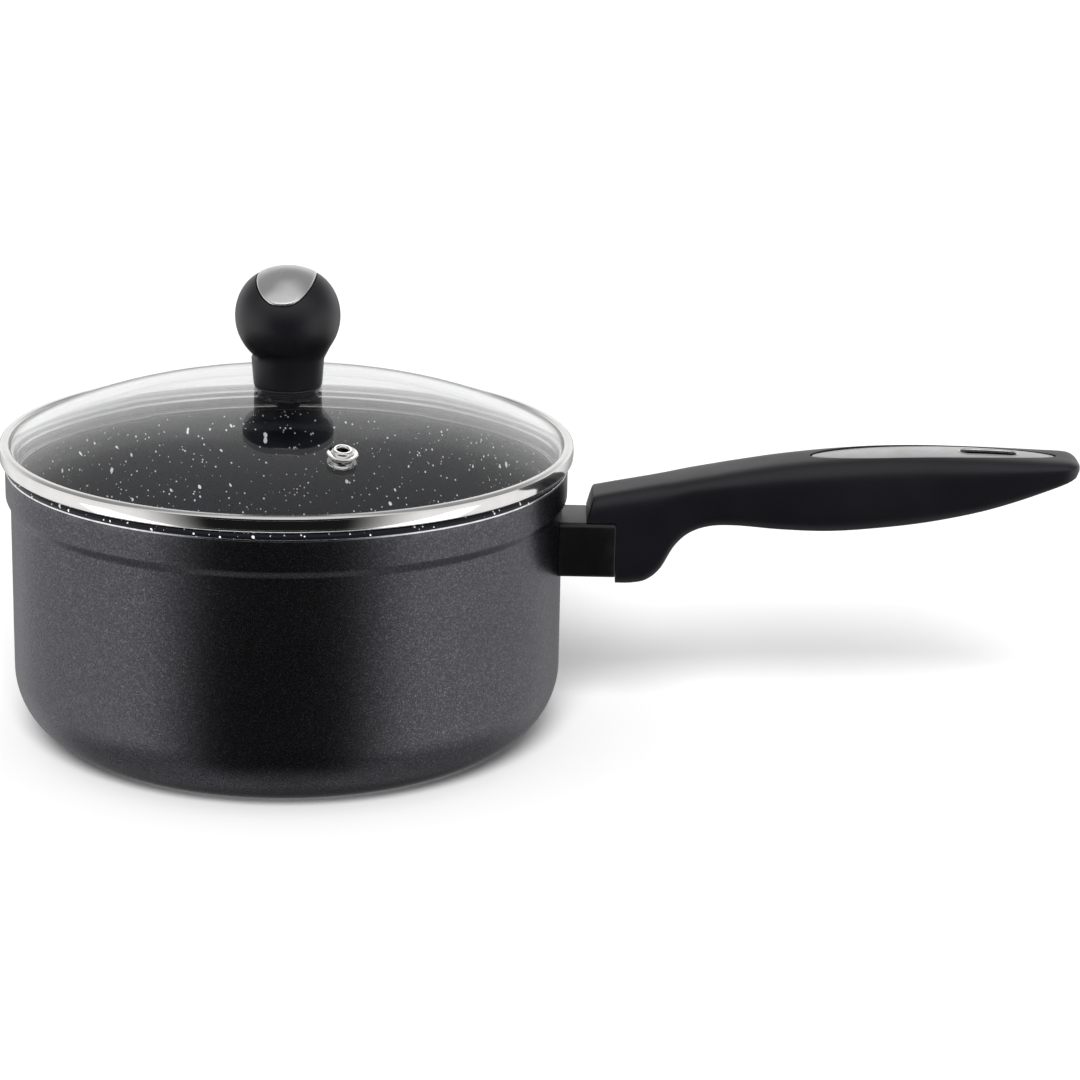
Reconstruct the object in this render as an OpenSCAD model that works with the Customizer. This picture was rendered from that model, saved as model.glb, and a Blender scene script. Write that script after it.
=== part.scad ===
// Saucepan, 18 cm, with a domed glass lid and one long handle.
// Origin: centre of the base, on the surface that the pan stands on. +Z is up, +X is along the handle.

/* [Pan] */
// Outer radius of the straight wall
body_r = 91.5; // [80:0.5:110]
// Outer radius of the wider band under the lip
band_r = 93.1; // [82:0.1:112]
// Height at which the wall starts to step out to the band
step_z = 79; // [60:0.5:81]
// Height of the step
step_h = 4; // [2:0.5:6]
// Height of the middle of the rounded lip
lip_z = 93.2; // [90:0.1:120]
// Radius of the outer corner between base and wall
corner_r = 24; // [12:1:40]
// Thickness of the wall, coats included
wall_t = 2.8; // [2:0.1:4]
// Thickness of the base, coats included
floor_t = 4; // [3:0.1:7]
// Thickness of the stone-effect lining and of the outer enamel
coat_t = 0.3; // [0.2:0.05:0.5]
// Radius of the magnetic disc let into the base
disc_r = 62; // [40:1:66]
// Thickness of the magnetic disc
disc_t = 0.6; // [0.4:0.1:1.5]

/* [Handle mounting] */
// Height of the stud and screw axis
stud_z = 66.5; // [64:0.1:69]
// Radius of the welded stud
stud_r = 5; // [4:0.1:6]
// Radius of the stud's foot on the wall
stud_foot_r = 9; // [6:0.5:9]
// Length of the stud, measured from the pan's axis to its free end
stud_end_x = 105; // [100:0.5:107]
// Radius of the handle screw's thread
screw_r = 2.5; // [2:0.1:3]
// Half width of the flame guard
guard_w = 12; // [10:0.5:13]
// Lower face of the flame guard
guard_z0 = 57.3; // [56:0.1:58]
// Upper face of the flame guard
guard_z1 = 76; // [74:0.1:78]
// Place where the flame guard meets the handle's chin
chin_x = 109.5; // [109:0.1:112]

/* [Handle] */
// Place of the handle's tip
tip_x = 262.8; // [250:0.5:300]
// Place where the tip starts to close
tip_round_x = 240; // [225:1:245]
// Height of the tip
tip_z = 96.3; // [90:0.1:100]
// Place where the silver inlay is widest
inlay_x = 200; // [190:0.5:212]
// Length of the inlay from its widest place towards the pan
inlay_back = 26.5; // [20:0.5:32]
// Length of the inlay from its widest place towards the tip
inlay_front = 55; // [46:0.5:56]
// Width of the silver inlay
inlay_w = 15.8; // [10:0.2:18]
// Thickness of the inlay
inlay_t = 1.2; // [0.8:0.1:2]
// Length of the hanging slot, end to end
slot_len = 20; // [14:0.5:24]
// Width of the hanging slot
slot_w = 7; // [5:0.2:8]
// Middle of the hanging slot along the handle
slot_x = 232.5; // [228:0.5:236]

/* [Lid] */
// Height of the top of the glass
dome_top = 118; // [115:0.5:124]
// Thickness of the tempered glass
glass_t = 4; // [3:0.5:5]
// Radius of curvature of the middle of the dome
dome_r1 = 290; // [250:5:400]
// Radius of curvature of the dome near its rim
dome_r2 = 151.5; // [140:0.5:200]
// Distance from the axis at which the two curvatures meet
dome_join = 50; // [40:1:60]
// Outer radius of the glass
glass_r = 94; // [85:0.5:94]
// Outer radius of the steel rim
rim_r = 95.1; // [88:0.1:96]
// Underside of the steel rim
rim_z0 = 94.95; // [94.9:0.05:96]
// Top of the steel rim
rim_z1 = 100.4; // [99:0.1:102]
// Inner radius of the rim's top lip
rim_lip_r = 91.8; // [85:0.1:93]
// Thickness of the rim's steel
rim_t = 0.45; // [0.3:0.05:0.6]
// Outer radius of the skirt that centres the lid in the pan
skirt_r = 89.2; // [84:0.1:89.5]
// Lower edge of the skirt
skirt_z = 87.4; // [86:0.2:92]
// Distance of the steam vent from the lid's axis
vent_r = 63.5; // [40:0.5:75]
// Direction of the steam vent, seen from above
vent_az = -70; // [-180:1:180]
// Radius of the vent's hole
vent_hole_r = 1.7; // [1:0.1:2.5]
// Radius of the vent's flange
vent_flange_r = 5; // [4:0.1:6]

/* [Knob] */
// Radius of the ball
knob_r = 17.3; // [14:0.1:22]
// Height of the ball's centre
knob_z = 141.8; // [138:0.1:150]
// Radius of the flatter crown of the ball
crown_r = 22; // [18:0.5:30]
// Height of the crown
knob_top = 158; // [155:0.1:170]
// Radius of the neck where it meets the glass
neck_r0 = 11.3; // [9:0.1:13]
// Radius of the neck under the ball
neck_r1 = 12.2; // [10:0.1:14]
// Lean of the ball on its neck, in degrees
knob_lean = 7; // [0:1:12]
// Direction in which the ball leans, seen from above
knob_az = -98; // [-180:1:180]
// Length of the silver cap along the direction of the lean
cap_len = 30.2; // [20:0.2:31]
// Width of the silver cap
cap_w = 19.6; // [12:0.2:24]

/* [Hidden] */
$fn = 120;
fine = 200;          // facets of the large round shapes in a preview
gap = 0.05;          // clearance between pieces that are assembled, not moulded together
reach = 400;         // longer than anything in the model

// The lip is a half round on top of the wall.
lip_mid_r = band_r - wall_t / 2;
lip_half = wall_t / 2;
bare_z0 = lip_z - 1.2;           // the bare metal line between enamel and lining
bare_z1 = lip_z - 0.6;
enamel_z0 = 1;                   // the base below this is machined bare
inner_corner_r = corner_r - wall_t;
step_ring = [for (i = [0:6]) [
    (band_r - body_r) * (1 - cos(30 * i)) / 2,
    step_z + step_h * i / 6
]];

// The dome is two arcs that meet smoothly. The second one's centre follows from the first.
join_angle = asin(dome_join / dome_r1);
arc2_r = dome_join - dome_r2 * sin(join_angle);
arc2_z = dome_top - dome_r1 + (dome_r1 - dome_r2) * cos(join_angle);
edge_angle = asin((glass_r - arc2_r) / dome_r2);
glass_seat_z = rim_z0 + rim_t + gap;

function dome_z(r) = r < dome_join
    ? dome_top - dome_r1 + sqrt(pow(dome_r1, 2) - pow(r, 2))
    : arc2_z + sqrt(pow(dome_r2, 2) - pow(r - arc2_r, 2));
function dome_slope(r) = r < dome_join ? asin(r / dome_r1) : asin((r - arc2_r) / dome_r2);

// Screws, washers and seals of the knob, stacked down from the underside of the glass.
glass_hole_r = 4.5;
under_glass = dome_top - glass_t;
lower_seal_z = under_glass - 1;
washer_z = lower_seal_z - 1.2;
knob_screw_head = 2.8;
upper_seal_t = 0.5;
knob_z0 = dome_top + upper_seal_t;
insert_top = knob_z0 + 12;
ball_clip_z = knob_z - knob_r * 0.72;

// Handle screw: head and washer sit in a pocket in the back of the chin.
pocket_x = 121;
pocket_r = 5.2;
washer_t = 1.2;
head_len = 3;
screw_len = 25;

// Stations along the handle: place, top, bottom, half width.
stations = [
    [109.6, 86, 54.3, 11.4],
    [115, 87.1, 54.4, 11.5],
    [120, 88.1, 55.6, 11.6],
    [124.5, 89, 59.6, 11.8],
    [129, 89.9, 67.6, 12],
    [134, 91, 72.4, 12.1],
    [141, 92.4, 74.8, 12.3],
    [150, 94.2, 75, 12.6],
    [164, 96.6, 74, 13],
    [180, 98.6, 73.8, 13.4],
    [196, 99.9, 75.2, 13.5],
    [212, 100.4, 77.5, 13.3],
    [228, 100.3, 81, 12.8],
    [240, 100, 84.7, 12.2],
    [252, 99.6, 89.3, 11.4],
    [264, 99.2, 94.5, 10.6]
];
nose = [[99.6, 76.2, 83], [101.6, 76.1, 84.5], [109.5, 76, 86]];   // place, bottom, top
nose_w = 11.2;
ring_n = 28;                     // points round each section of the handle
squareness = 4.2;                // 2 is an ellipse, larger is closer to a rectangle

// Smooth curve through the stations (Catmull-Rom).
function blend4(a, b, c, d, t) =
    0.5 * (2 * b + (c - a) * t + (2 * a - 5 * b + 4 * c - d) * t * t
    + (3 * b - a - 3 * c + d) * t * t * t);
function station(i) = stations[max(0, min(len(stations) - 1, i))];
function between(i, t) = blend4(station(i - 1), station(i), station(i + 1), station(i + 2), t);
// How much of the full section is left at x: 1 along the grip, 0 at the tip.
function closing(x) = x < tip_round_x
    ? 1
    : sqrt(max(0, 1 - pow((x - tip_round_x) / (tip_x - tip_round_x), 14)));
function power(v, p) = sign(v) * pow(abs(v), p);
function section(x, top, bottom, half_w, shrink) = [for (k = [0:ring_n - 1])
    let (
        a = 360 * (k + 0.5) / ring_n,
        mid = (top + bottom) / 2,
        z = mid + (top - bottom) / 2 * power(sin(a), 2 / squareness),
        y = half_w * power(cos(a), 2 / squareness)
    )
    [x, y * shrink, tip_z + (z - tip_z) * shrink]
];
steps = 2;
grip_rings = [for (i = [0:len(stations) - 2], j = [0:steps - 1])
    let (s = between(i, j / steps))
    if (s[0] < tip_x - 1.5) section(s[0], s[1], s[2], s[3], closing(s[0]))
];
last = station(len(stations) - 1);
tip_rings = [for (x = [tip_x - 1.2, tip_x - 0.5, tip_x - 0.05])
    section(x, last[1], last[2], last[3], closing(x))
];
nose_rings = [for (n = nose) section(n[0], n[2], n[1], nose_w, 1)];
handle_rings = concat(nose_rings, grip_rings, tip_rings);

// A closed solid from a list of rings that all have the same number of points.
module loft(rings) {
    n = len(rings[0]);
    m = len(rings);
    points = [for (r = rings) for (p = r) p];
    sides = [for (i = [0:m - 2], k = [0:n - 1])
        let (a = i * n + k, b = i * n + (k + 1) % n)
        each [[a, b, b + n], [a, b + n, a + n]]
    ];
    ends = [[for (k = [n - 1:-1:0]) k], [for (k = [0:n - 1]) (m - 1) * n + k]];
    polyhedron(points = points, faces = concat(sides, ends));
}

// Half of a section through the pan's outside, drawn smaller by "inset".
module outside_half(inset) {
    translate([0, inset]) square([body_r - corner_r, step_z - inset]);
    translate([0, corner_r]) square([body_r - inset, step_z - corner_r]);
    intersection() {
        translate([body_r - corner_r, corner_r]) circle(corner_r - inset, $fn = fine);
        square([body_r, corner_r]);
    }
    polygon(concat(
        [[0, step_z]],
        [for (p = step_ring) [body_r - inset + p[0], p[1]]],
        [[band_r - inset, lip_z], [0, lip_z]]
    ));
}

// Half of a section through the space inside the pan, drawn larger by "grow".
module cavity_half(grow) {
    top = lip_z + wall_t;
    inner_r = body_r - wall_t + grow;
    translate([0, floor_t - grow]) square([body_r - corner_r, top - floor_t]);
    translate([0, floor_t + inner_corner_r]) square([inner_r, step_z - floor_t - inner_corner_r]);
    intersection() {
        translate([body_r - corner_r, floor_t + inner_corner_r])
            circle(inner_corner_r + grow, $fn = fine);
        square([inner_r, floor_t + inner_corner_r]);
    }
    polygon(concat(
        [[0, step_z]],
        [for (p = step_ring) [inner_r + p[0], p[1]]],
        [[inner_r + band_r - body_r, top], [0, top]]
    ));
}

// The rounded lip, drawn smaller by "inset".
module lip_round(inset) {
    intersection() {
        translate([lip_mid_r, lip_z]) circle(lip_half - inset);
        translate([0, lip_z]) square([band_r, wall_t]);
    }
}

module pan_metal_half() {
    difference() {
        outside_half(coat_t);
        cavity_half(coat_t);
        square([disc_r + gap, disc_t + gap]);
    }
    difference() {
        square([body_r - corner_r, coat_t + gap]);
        square([disc_r + gap, disc_t + gap]);
    }
    lip_round(coat_t);
    translate([lip_mid_r, bare_z0]) square([lip_half, bare_z1 - bare_z0]);
}

// Pressed aluminium shell
module pan_body() {
    color([0.72, 0.72, 0.73])
    rotate_extrude($fn = fine) pan_metal_half();
}

// Stone-effect non-stick coat on the inside and over the lip
module pan_lining() {
    color([0.16, 0.17, 0.2])
    rotate_extrude($fn = fine) {
        difference() {
            cavity_half(coat_t);
            cavity_half(0);
            translate([0, lip_z]) square([band_r + wall_t, wall_t * 2]);
        }
        difference() {
            lip_round(0);
            lip_round(coat_t);
        }
        translate([band_r - coat_t, bare_z1]) square([coat_t, lip_z - bare_z1]);
    }
}

// Charcoal enamel on the outside, up to the bare line of the lip
module outer_enamel() {
    color([0.2, 0.2, 0.21])
    difference() {
        rotate_extrude($fn = fine) difference() {
            outside_half(0);
            outside_half(coat_t);
            square([band_r, enamel_z0]);
            translate([0, bare_z0]) square([band_r, wall_t]);
        }
        translate([0, 0, stud_z]) rotate([0, 90, 0]) cylinder(r = stud_foot_r + gap, h = reach);
    }
}

// Magnetic steel disc let into the base
module base_disc() {
    color([0.6, 0.6, 0.61])
    cylinder(r = disc_r, h = disc_t, $fn = fine);
}

// Threaded stud that is welded to the wall
module weld_stud() {
    color([0.75, 0.75, 0.76])
    difference() {
        translate([0, 0, stud_z]) rotate([0, 90, 0]) {
            cylinder(r = stud_r, h = stud_end_x);
            cylinder(r = stud_foot_r, h = body_r + 1.6);
        }
        cylinder(r = body_r - coat_t, h = reach, $fn = fine);
        translate([body_r, 0, stud_z]) rotate([0, 90, 0]) cylinder(r = screw_r, h = reach);
    }
}

module rounded_bar(half_w, z0, z1, r, x0, x1) {
    translate([x0, 0, 0]) rotate([90, 0, 90]) linear_extrude(x1 - x0) {
        translate([-half_w + r, z0]) square([2 * (half_w - r), z1 - z0]);
        translate([-half_w, z0 + r]) square([2 * half_w, z1 - z0 - 2 * r]);
        for (y = [-1, 1], z = [z0 + r, z1 - r])
            translate([y * (half_w - r), z]) circle(r);
    }
}

// Heat-proof spacer between the wall and the handle
module flame_guard() {
    color([0.08, 0.08, 0.09])
    difference() {
        rounded_bar(guard_w, guard_z0, guard_z1 - gap, 1.5, body_r - 4, chin_x - gap);
        cylinder(r = body_r + gap, h = reach, $fn = fine);
        translate([0, 0, stud_z]) rotate([0, 90, 0]) {
            cylinder(r = stud_r + gap, h = stud_end_x + gap);
            cylinder(r = stud_foot_r + gap, h = body_r + 1.6 + gap);
            cylinder(r = screw_r + 0.3, h = reach);
        }
    }
}

// Drop-shaped outline: two half ellipses of different lengths
module drop(back, front, half_w) {
    polygon([for (a = [0:7.5:352.5])
        [(cos(a) > 0 ? front : back) * cos(a), half_w * sin(a)]
    ]);
}

// The inlay's top follows a large circle that matches the top of the grip.
inlay_arc = 440;
inlay_top = 100.4;
module inlay_space(grow, below, above) {
    intersection() {
        translate([inlay_x, 0, 0]) linear_extrude(reach)
            drop(inlay_back + grow, inlay_front + grow, inlay_w / 2 + grow);
        translate([slot_x - 10, 0, inlay_top - inlay_arc]) rotate([90, 0, 0])
            difference() {
                cylinder(r = inlay_arc + above, h = inlay_w * 2, center = true, $fn = 720);
                cylinder(r = inlay_arc - below, h = inlay_w * 2 + 2, center = true, $fn = 720);
            }
    }
}

module slot(length, width) {
    translate([slot_x, 0, tip_z - 40]) linear_extrude(80) {
        square([length - width, width], center = true);
        for (s = [-1, 1])
            translate([s * (length - width) / 2, 0]) circle(width / 2);
    }
}

// Moulded handle: nose over the guard, chin behind it, curved grip, hanging slot
module handle_grip() {
    color([0.07, 0.07, 0.08])
    difference() {
        loft(handle_rings);
        inlay_space(gap, inlay_t + gap, 20);
        slot(slot_len, slot_w);
        translate([0, 0, stud_z]) rotate([0, 90, 0]) cylinder(r = screw_r + 0.3, h = pocket_x + 1);
        translate([pocket_x, 0, stud_z]) rotate([0, 90, 0]) cylinder(r = pocket_r, h = 20);
    }
}

// Satin silver plate on top of the grip, open where the slot goes through
module handle_inlay() {
    color([0.68, 0.68, 0.69])
    difference() {
        inlay_space(0, inlay_t, 0);
        slot(slot_len - 1.2, slot_w - 1.2);
    }
}

// Long screw from the back of the chin into the stud
module handle_screw() {
    color([0.7, 0.7, 0.7])
    translate([pocket_x + washer_t, 0, stud_z]) rotate([0, 90, 0])
    difference() {
        union() {
            cylinder(r = screw_r + 1.9, h = head_len);
            translate([0, 0, -screw_len]) cylinder(r = screw_r - gap, h = screw_len);
        }
        for (a = [0, 90])
            rotate([0, 0, a]) translate([0, 0, head_len])
                cube([5, 1.1, 2.4], center = true);
    }
}

// Split spring washer under the screw's head
module handle_washer() {
    color([0.6, 0.6, 0.6])
    translate([pocket_x, 0, stud_z]) rotate([0, 90, 0])
    difference() {
        cylinder(r = 4.6, h = washer_t - gap);
        translate([0, 0, -1]) cylinder(r = screw_r + 0.2, h = 4);
        translate([3.8, 0, 0]) rotate([0, 0, 25]) cube([4, 0.5, 5], center = true);
    }
}

// One arc of the glass: centre, radius and the two slopes that it lies between
module glass_arc(centre, radius, slope0, slope1) {
    far = radius * 1.3;
    intersection() {
        translate(centre) difference() {
            circle(radius, $fn = 720);
            circle(radius - glass_t, $fn = 720);
        }
        translate(centre) polygon([
            [0, 0],
            [far * sin(slope0), far * cos(slope0)],
            [far * sin(slope1), far * cos(slope1)]
        ]);
    }
}

// Places its children on the glass at the steam vent, with +Z square to the glass.
module at_vent() {
    rotate([0, 0, vent_az]) translate([vent_r, 0, dome_z(vent_r)])
        rotate([0, dome_slope(vent_r), 0]) children();
}

// Tempered glass dome with a hole for the knob's screw and one for the vent
module glass_dome() {
    color([0.8, 0.85, 0.86, 0.35])
    difference() {
        rotate_extrude($fn = fine) {
            glass_arc([0, dome_top - dome_r1], dome_r1, 0, join_angle);
            glass_arc([arc2_r, arc2_z], dome_r2, join_angle, edge_angle);
        }
        cylinder(r = glass_hole_r, h = reach);
        at_vent() cylinder(r = 3.6, h = 20, center = true);
        // ground edge that the glass stands on in the rim
        cylinder(r = rim_r, h = glass_seat_z);
    }
}

// Steel rim: a channel rolled round the edge of the glass, with a skirt that hangs into the pan
module lid_rim() {
    curl = 0.9;
    color([0.82, 0.82, 0.83])
    rotate_extrude($fn = fine) {
        // outer wall
        translate([rim_r - rim_t, rim_z0]) square([rim_t, rim_z1 - rim_z0 - curl]);
        // rounded shoulder
        intersection() {
            translate([rim_r - curl, rim_z1 - curl]) difference() {
                circle(curl);
                circle(curl - rim_t);
            }
            translate([rim_r - curl, rim_z1 - curl]) square([curl, curl]);
        }
        // top lip and lower ledge
        translate([rim_lip_r, rim_z1 - rim_t]) square([rim_r - curl - rim_lip_r, rim_t]);
        translate([skirt_r - rim_t, rim_z0]) square([rim_r - skirt_r + rim_t, rim_t]);
        // skirt
        translate([skirt_r - rim_t, skirt_z]) square([rim_t, rim_z0 - skirt_z + rim_t]);
    }
}

// Silicone bead that fixes the glass in the rim
module rim_sealant() {
    inner = rim_r - rim_t - gap;
    seat_r = glass_r - (dome_z(glass_r) - glass_seat_z) * tan(edge_angle);
    color([0.75, 0.76, 0.77])
    rotate_extrude($fn = fine) polygon([
        [inner, glass_seat_z],
        [inner, rim_z1 - rim_t - 0.6],
        [inner - 0.6, rim_z1 - rim_t - gap],
        [rim_lip_r + 0.6, rim_z1 - rim_t - gap],
        [rim_lip_r + 0.9, dome_z(rim_lip_r + 0.9) + gap],
        [glass_r - 1, dome_z(glass_r - 1) + 2 * gap],
        [glass_r + 3 * gap, dome_z(glass_r) + gap],
        [seat_r + 3 * gap, glass_seat_z]
    ]);
}

// Steel eyelet that lines the steam vent
module vent_eyelet() {
    tube_r = 3.4;
    collar_top = 2.6;
    collar_r = 2.9;
    bulge = (collar_r + 0.5 - vent_hole_r) / 2;
    color([0.85, 0.85, 0.86])
    at_vent() rotate_extrude() {
        difference() {
            union() {
                translate([0, -glass_t - 0.8]) square([tube_r, glass_t + 1.6]);
                // flange on top of the glass, with a round edge
                translate([0, 0.45]) square([vent_flange_r - 0.45, 0.9]);
                translate([vent_flange_r - 0.45, 0.9]) circle(0.45);
                // raised collar with a rolled top
                translate([0, 1]) square([collar_r + 0.5, collar_top - 1 - bulge]);
                translate([vent_hole_r + bulge, collar_top - bulge]) circle(bulge);
                // flare under the glass
                translate([0, -glass_t - 0.9]) square([4.7, 0.7]);
            }
            translate([-reach, -20]) square([reach + vent_hole_r, 40]);
        }
    }
}

// Thin silicone ring under the vent's flange
module vent_seal() {
    color([0.5, 0.5, 0.5])
    at_vent() difference() {
        cylinder(r = 4.3, h = 0.4);
        translate([0, 0, -1]) cylinder(r = 3.45, h = 3);
    }
}

// Puts its children at the centre of the ball and leans them with it.
module leaning() {
    translate([0, 0, knob_z]) rotate([0, 0, knob_az]) rotate([0, knob_lean, 0]) children();
}

// The ball as a solid of revolution about its own axis, drawn larger by "grow"
module ball(grow) {
    crown_z = knob_top - knob_z - crown_r;
    intersection() {
        sphere(knob_r + grow, $fn = fine);
        translate([0, 0, crown_z]) sphere(crown_r + grow, $fn = fine);
    }
}

// The space of the silver cap: an oval prism along the ball's leaning axis
module cap_prism(grow) {
    linear_extrude(40) drop(cap_len / 2 + grow, cap_len / 2 + grow, cap_w / 2 + grow);
}

// Moulded knob: ball, neck and the blind hole of its threaded insert
module knob_body() {
    collar_z = -knob_r * 0.74;
    color([0.07, 0.07, 0.08])
    difference() {
        union() {
            leaning() ball(0);
            // fillet under the ball
            leaning() translate([0, 0, collar_z - 2.2])
                cylinder(r1 = neck_r1 - 0.2, r2 = knob_r * 0.71, h = 2.8);
            translate([0, 0, knob_z0]) cylinder(r1 = neck_r0, r2 = neck_r1, h = ball_clip_z - knob_z0);
        }
        leaning() difference() {
            cap_prism(gap);
            ball(-0.8 - gap);
        }
        cylinder(r = 5 + gap, h = insert_top + gap);
        translate([0, 0, knob_z0 - 1]) cylinder(r = 8, h = 1.5);
    }
}

// Satin silver cap on top of the knob
module knob_cap() {
    color([0.68, 0.68, 0.69])
    leaning() intersection() {
        cap_prism(0);
        difference() {
            ball(0.1);
            ball(-0.8);
        }
    }
}

// Threaded brass insert moulded into the neck
module knob_insert() {
    color([0.75, 0.62, 0.3])
    translate([0, 0, knob_z0 + 0.5]) difference() {
        union() {
            cylinder(r = 5, h = 3);
            translate([0, 0, 3]) cylinder(r = 4.4, h = 1.2);
            translate([0, 0, 4.2]) cylinder(r = 5, h = insert_top - knob_z0 - 4.7);
        }
        translate([0, 0, -1]) cylinder(r = screw_r, h = 30);
    }
}

// Screw that holds the knob, from under the glass
module knob_screw() {
    color([0.7, 0.7, 0.7])
    translate([0, 0, washer_z]) difference() {
        union() {
            translate([0, 0, -knob_screw_head]) cylinder(r1 = 3.9, r2 = 4.6, h = knob_screw_head);
            cylinder(r = screw_r - gap, h = 16);
        }
        for (a = [0, 90])
            rotate([0, 0, a]) translate([0, 0, -knob_screw_head])
                cube([5, 1.1, 2.6], center = true);
    }
}

// Steel washer under the glass
module knob_washer() {
    color([0.78, 0.78, 0.78])
    translate([0, 0, washer_z]) difference() {
        cylinder(r = 10, h = lower_seal_z - washer_z);
        translate([0, 0, -1]) cylinder(r = screw_r + 0.3, h = 5);
    }
}

// Silicone washer between steel washer and glass
module knob_lower_seal() {
    color([0.15, 0.15, 0.15])
    translate([0, 0, lower_seal_z]) difference() {
        cylinder(r = 9, h = under_glass - lower_seal_z - 0.2);
        translate([0, 0, -1]) cylinder(r = screw_r + 0.3, h = 5);
    }
}

// Silicone ring between glass and knob
module knob_upper_seal() {
    color([0.1, 0.1, 0.1])
    translate([0, 0, dome_top]) difference() {
        cylinder(r = 11, h = upper_seal_t);
        translate([0, 0, -1]) cylinder(r = screw_r + 0.4, h = 3);
    }
}

pan_body();
pan_lining();
outer_enamel();
base_disc();
weld_stud();
flame_guard();
handle_grip();
handle_inlay();
handle_screw();
handle_washer();
lid_rim();
rim_sealant();
glass_dome();
vent_eyelet();
vent_seal();
knob_body();
knob_cap();
knob_insert();
knob_screw();
knob_washer();
knob_lower_seal();
knob_upper_seal();
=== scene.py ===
"""Saucepan with a domed glass lid: its visible pieces, their finishes, and the studio that they stand in.

Lengths are in metres in the object's own frame: the origin is the centre of the base, +Z is up, and +X is
along the handle.
"""
import logging
import math
from collections.abc import Callable, Iterable, Sequence
from dataclasses import dataclass, field
from enum import Enum
from typing import NamedTuple

import bmesh
import bpy
from mathutils import Matrix, Vector


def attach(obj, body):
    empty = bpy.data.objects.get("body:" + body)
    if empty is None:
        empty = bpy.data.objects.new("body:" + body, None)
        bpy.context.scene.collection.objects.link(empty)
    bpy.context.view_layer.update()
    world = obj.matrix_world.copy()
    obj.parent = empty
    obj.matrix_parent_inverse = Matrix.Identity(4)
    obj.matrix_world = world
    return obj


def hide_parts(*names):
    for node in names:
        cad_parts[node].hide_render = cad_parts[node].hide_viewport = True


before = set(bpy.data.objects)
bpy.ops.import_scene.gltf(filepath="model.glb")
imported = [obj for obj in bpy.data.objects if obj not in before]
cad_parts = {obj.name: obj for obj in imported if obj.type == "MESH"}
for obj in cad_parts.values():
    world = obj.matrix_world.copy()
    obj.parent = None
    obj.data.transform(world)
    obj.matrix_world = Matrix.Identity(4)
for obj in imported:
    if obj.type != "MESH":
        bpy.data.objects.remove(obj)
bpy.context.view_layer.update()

log = logging.getLogger("saucepan")
MM = 0.001
TURN = 2 * math.pi
Colour = tuple[float, float, float]
Value = float | bpy.types.NodeSocket
Tint = Colour | bpy.types.NodeSocket
Point = tuple[float, float]
Outline = list[Point]
Ring = list[Vector]


class Body(str, Enum):
    """The two CAD bodies that a piece can ride on."""

    PAN = "pan"
    LID = "lid"


# ---------------------------------------------------------------------------------------------- outlines


def arc(centre: Point, radius: float, start: float, stop: float, steps: int) -> Outline:
    """Points along a circular arc.

    Args:
        centre: The arc's centre.
        radius: The arc's radius.
        start: The first point's angle, in degrees from +X.
        stop: The last point's angle, in degrees.
        steps: The number of stretches between points.

    Returns:
        steps + 1 points.
    """
    angles = [math.radians(start + (stop - start) * i / steps) for i in range(steps + 1)]
    return [(centre[0] + radius * math.cos(a), centre[1] + radius * math.sin(a)) for a in angles]


def straight(start: Point, stop: Point, steps: int) -> Outline:
    """Points along a straight line, without its first point.

    Args:
        start: Where the line starts.
        stop: Where it ends.
        steps: The number of stretches.

    Returns:
        steps points, the last of them at stop.
    """
    return [
        (start[0] + (stop[0] - start[0]) * i / steps, start[1] + (stop[1] - start[1]) * i / steps)
        for i in range(1, steps + 1)
    ]


def filleted(corners: Sequence[tuple[float, float, float]], steps: int = 6) -> Outline:
    """A path through corners that are rounded with arcs.

    Args:
        corners: Each corner's place and its fillet's radius. The first and last ones are ends.
        steps: The number of stretches in each fillet.

    Returns:
        The path's points.
    """
    path: Outline = [corners[0][:2]]
    for before, corner, after in zip(corners, corners[1:], corners[2:]):
        here = Vector(corner[:2])
        to_before = (Vector(before[:2]) - here).normalized()
        to_after = (Vector(after[:2]) - here).normalized()
        half = to_before.angle(to_after) / 2
        reach = corner[2] / math.tan(half)
        centre = here + (to_before + to_after).normalized() * corner[2] / math.sin(half)
        first = here + to_before * reach - centre
        sweep = here + to_after * reach - centre
        turn = math.atan2(first.x * sweep.y - first.y * sweep.x, first.dot(sweep))
        for i in range(steps + 1):
            point = centre + Matrix.Rotation(turn * i / steps, 2) @ first
            path.append((point.x, point.y))
    path.append(corners[-1][:2])
    return path


def sheet_section(path: Outline, thickness: float) -> Outline:
    """The closed section of bent sheet metal with round edges.

    Args:
        path: The middle line of the sheet.
        thickness: The sheet's thickness.

    Returns:
        A closed outline round the path.
    """
    points = [Vector(p) for p in path]
    left: Outline = []
    right: Outline = []
    for i, point in enumerate(points):
        ahead = points[min(i + 1, len(points) - 1)] - points[max(i - 1, 0)]
        side = Vector((-ahead.y, ahead.x)).normalized() * thickness / 2
        left.append(tuple(point + side))
        right.append(tuple(point - side))
    start_turn = math.degrees(math.atan2(left[0][1] - path[0][1], left[0][0] - path[0][0]))
    stop_turn = math.degrees(math.atan2(right[-1][1] - path[-1][1], right[-1][0] - path[-1][0]))
    start_edge = arc(path[0], thickness / 2, start_turn + 180, start_turn, 6)[1:-1]
    stop_edge = arc(path[-1], thickness / 2, stop_turn + 180, stop_turn, 6)[1:-1]
    return left + stop_edge + right[::-1] + start_edge


# ------------------------------------------------------------------------------------------------ meshes


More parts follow.
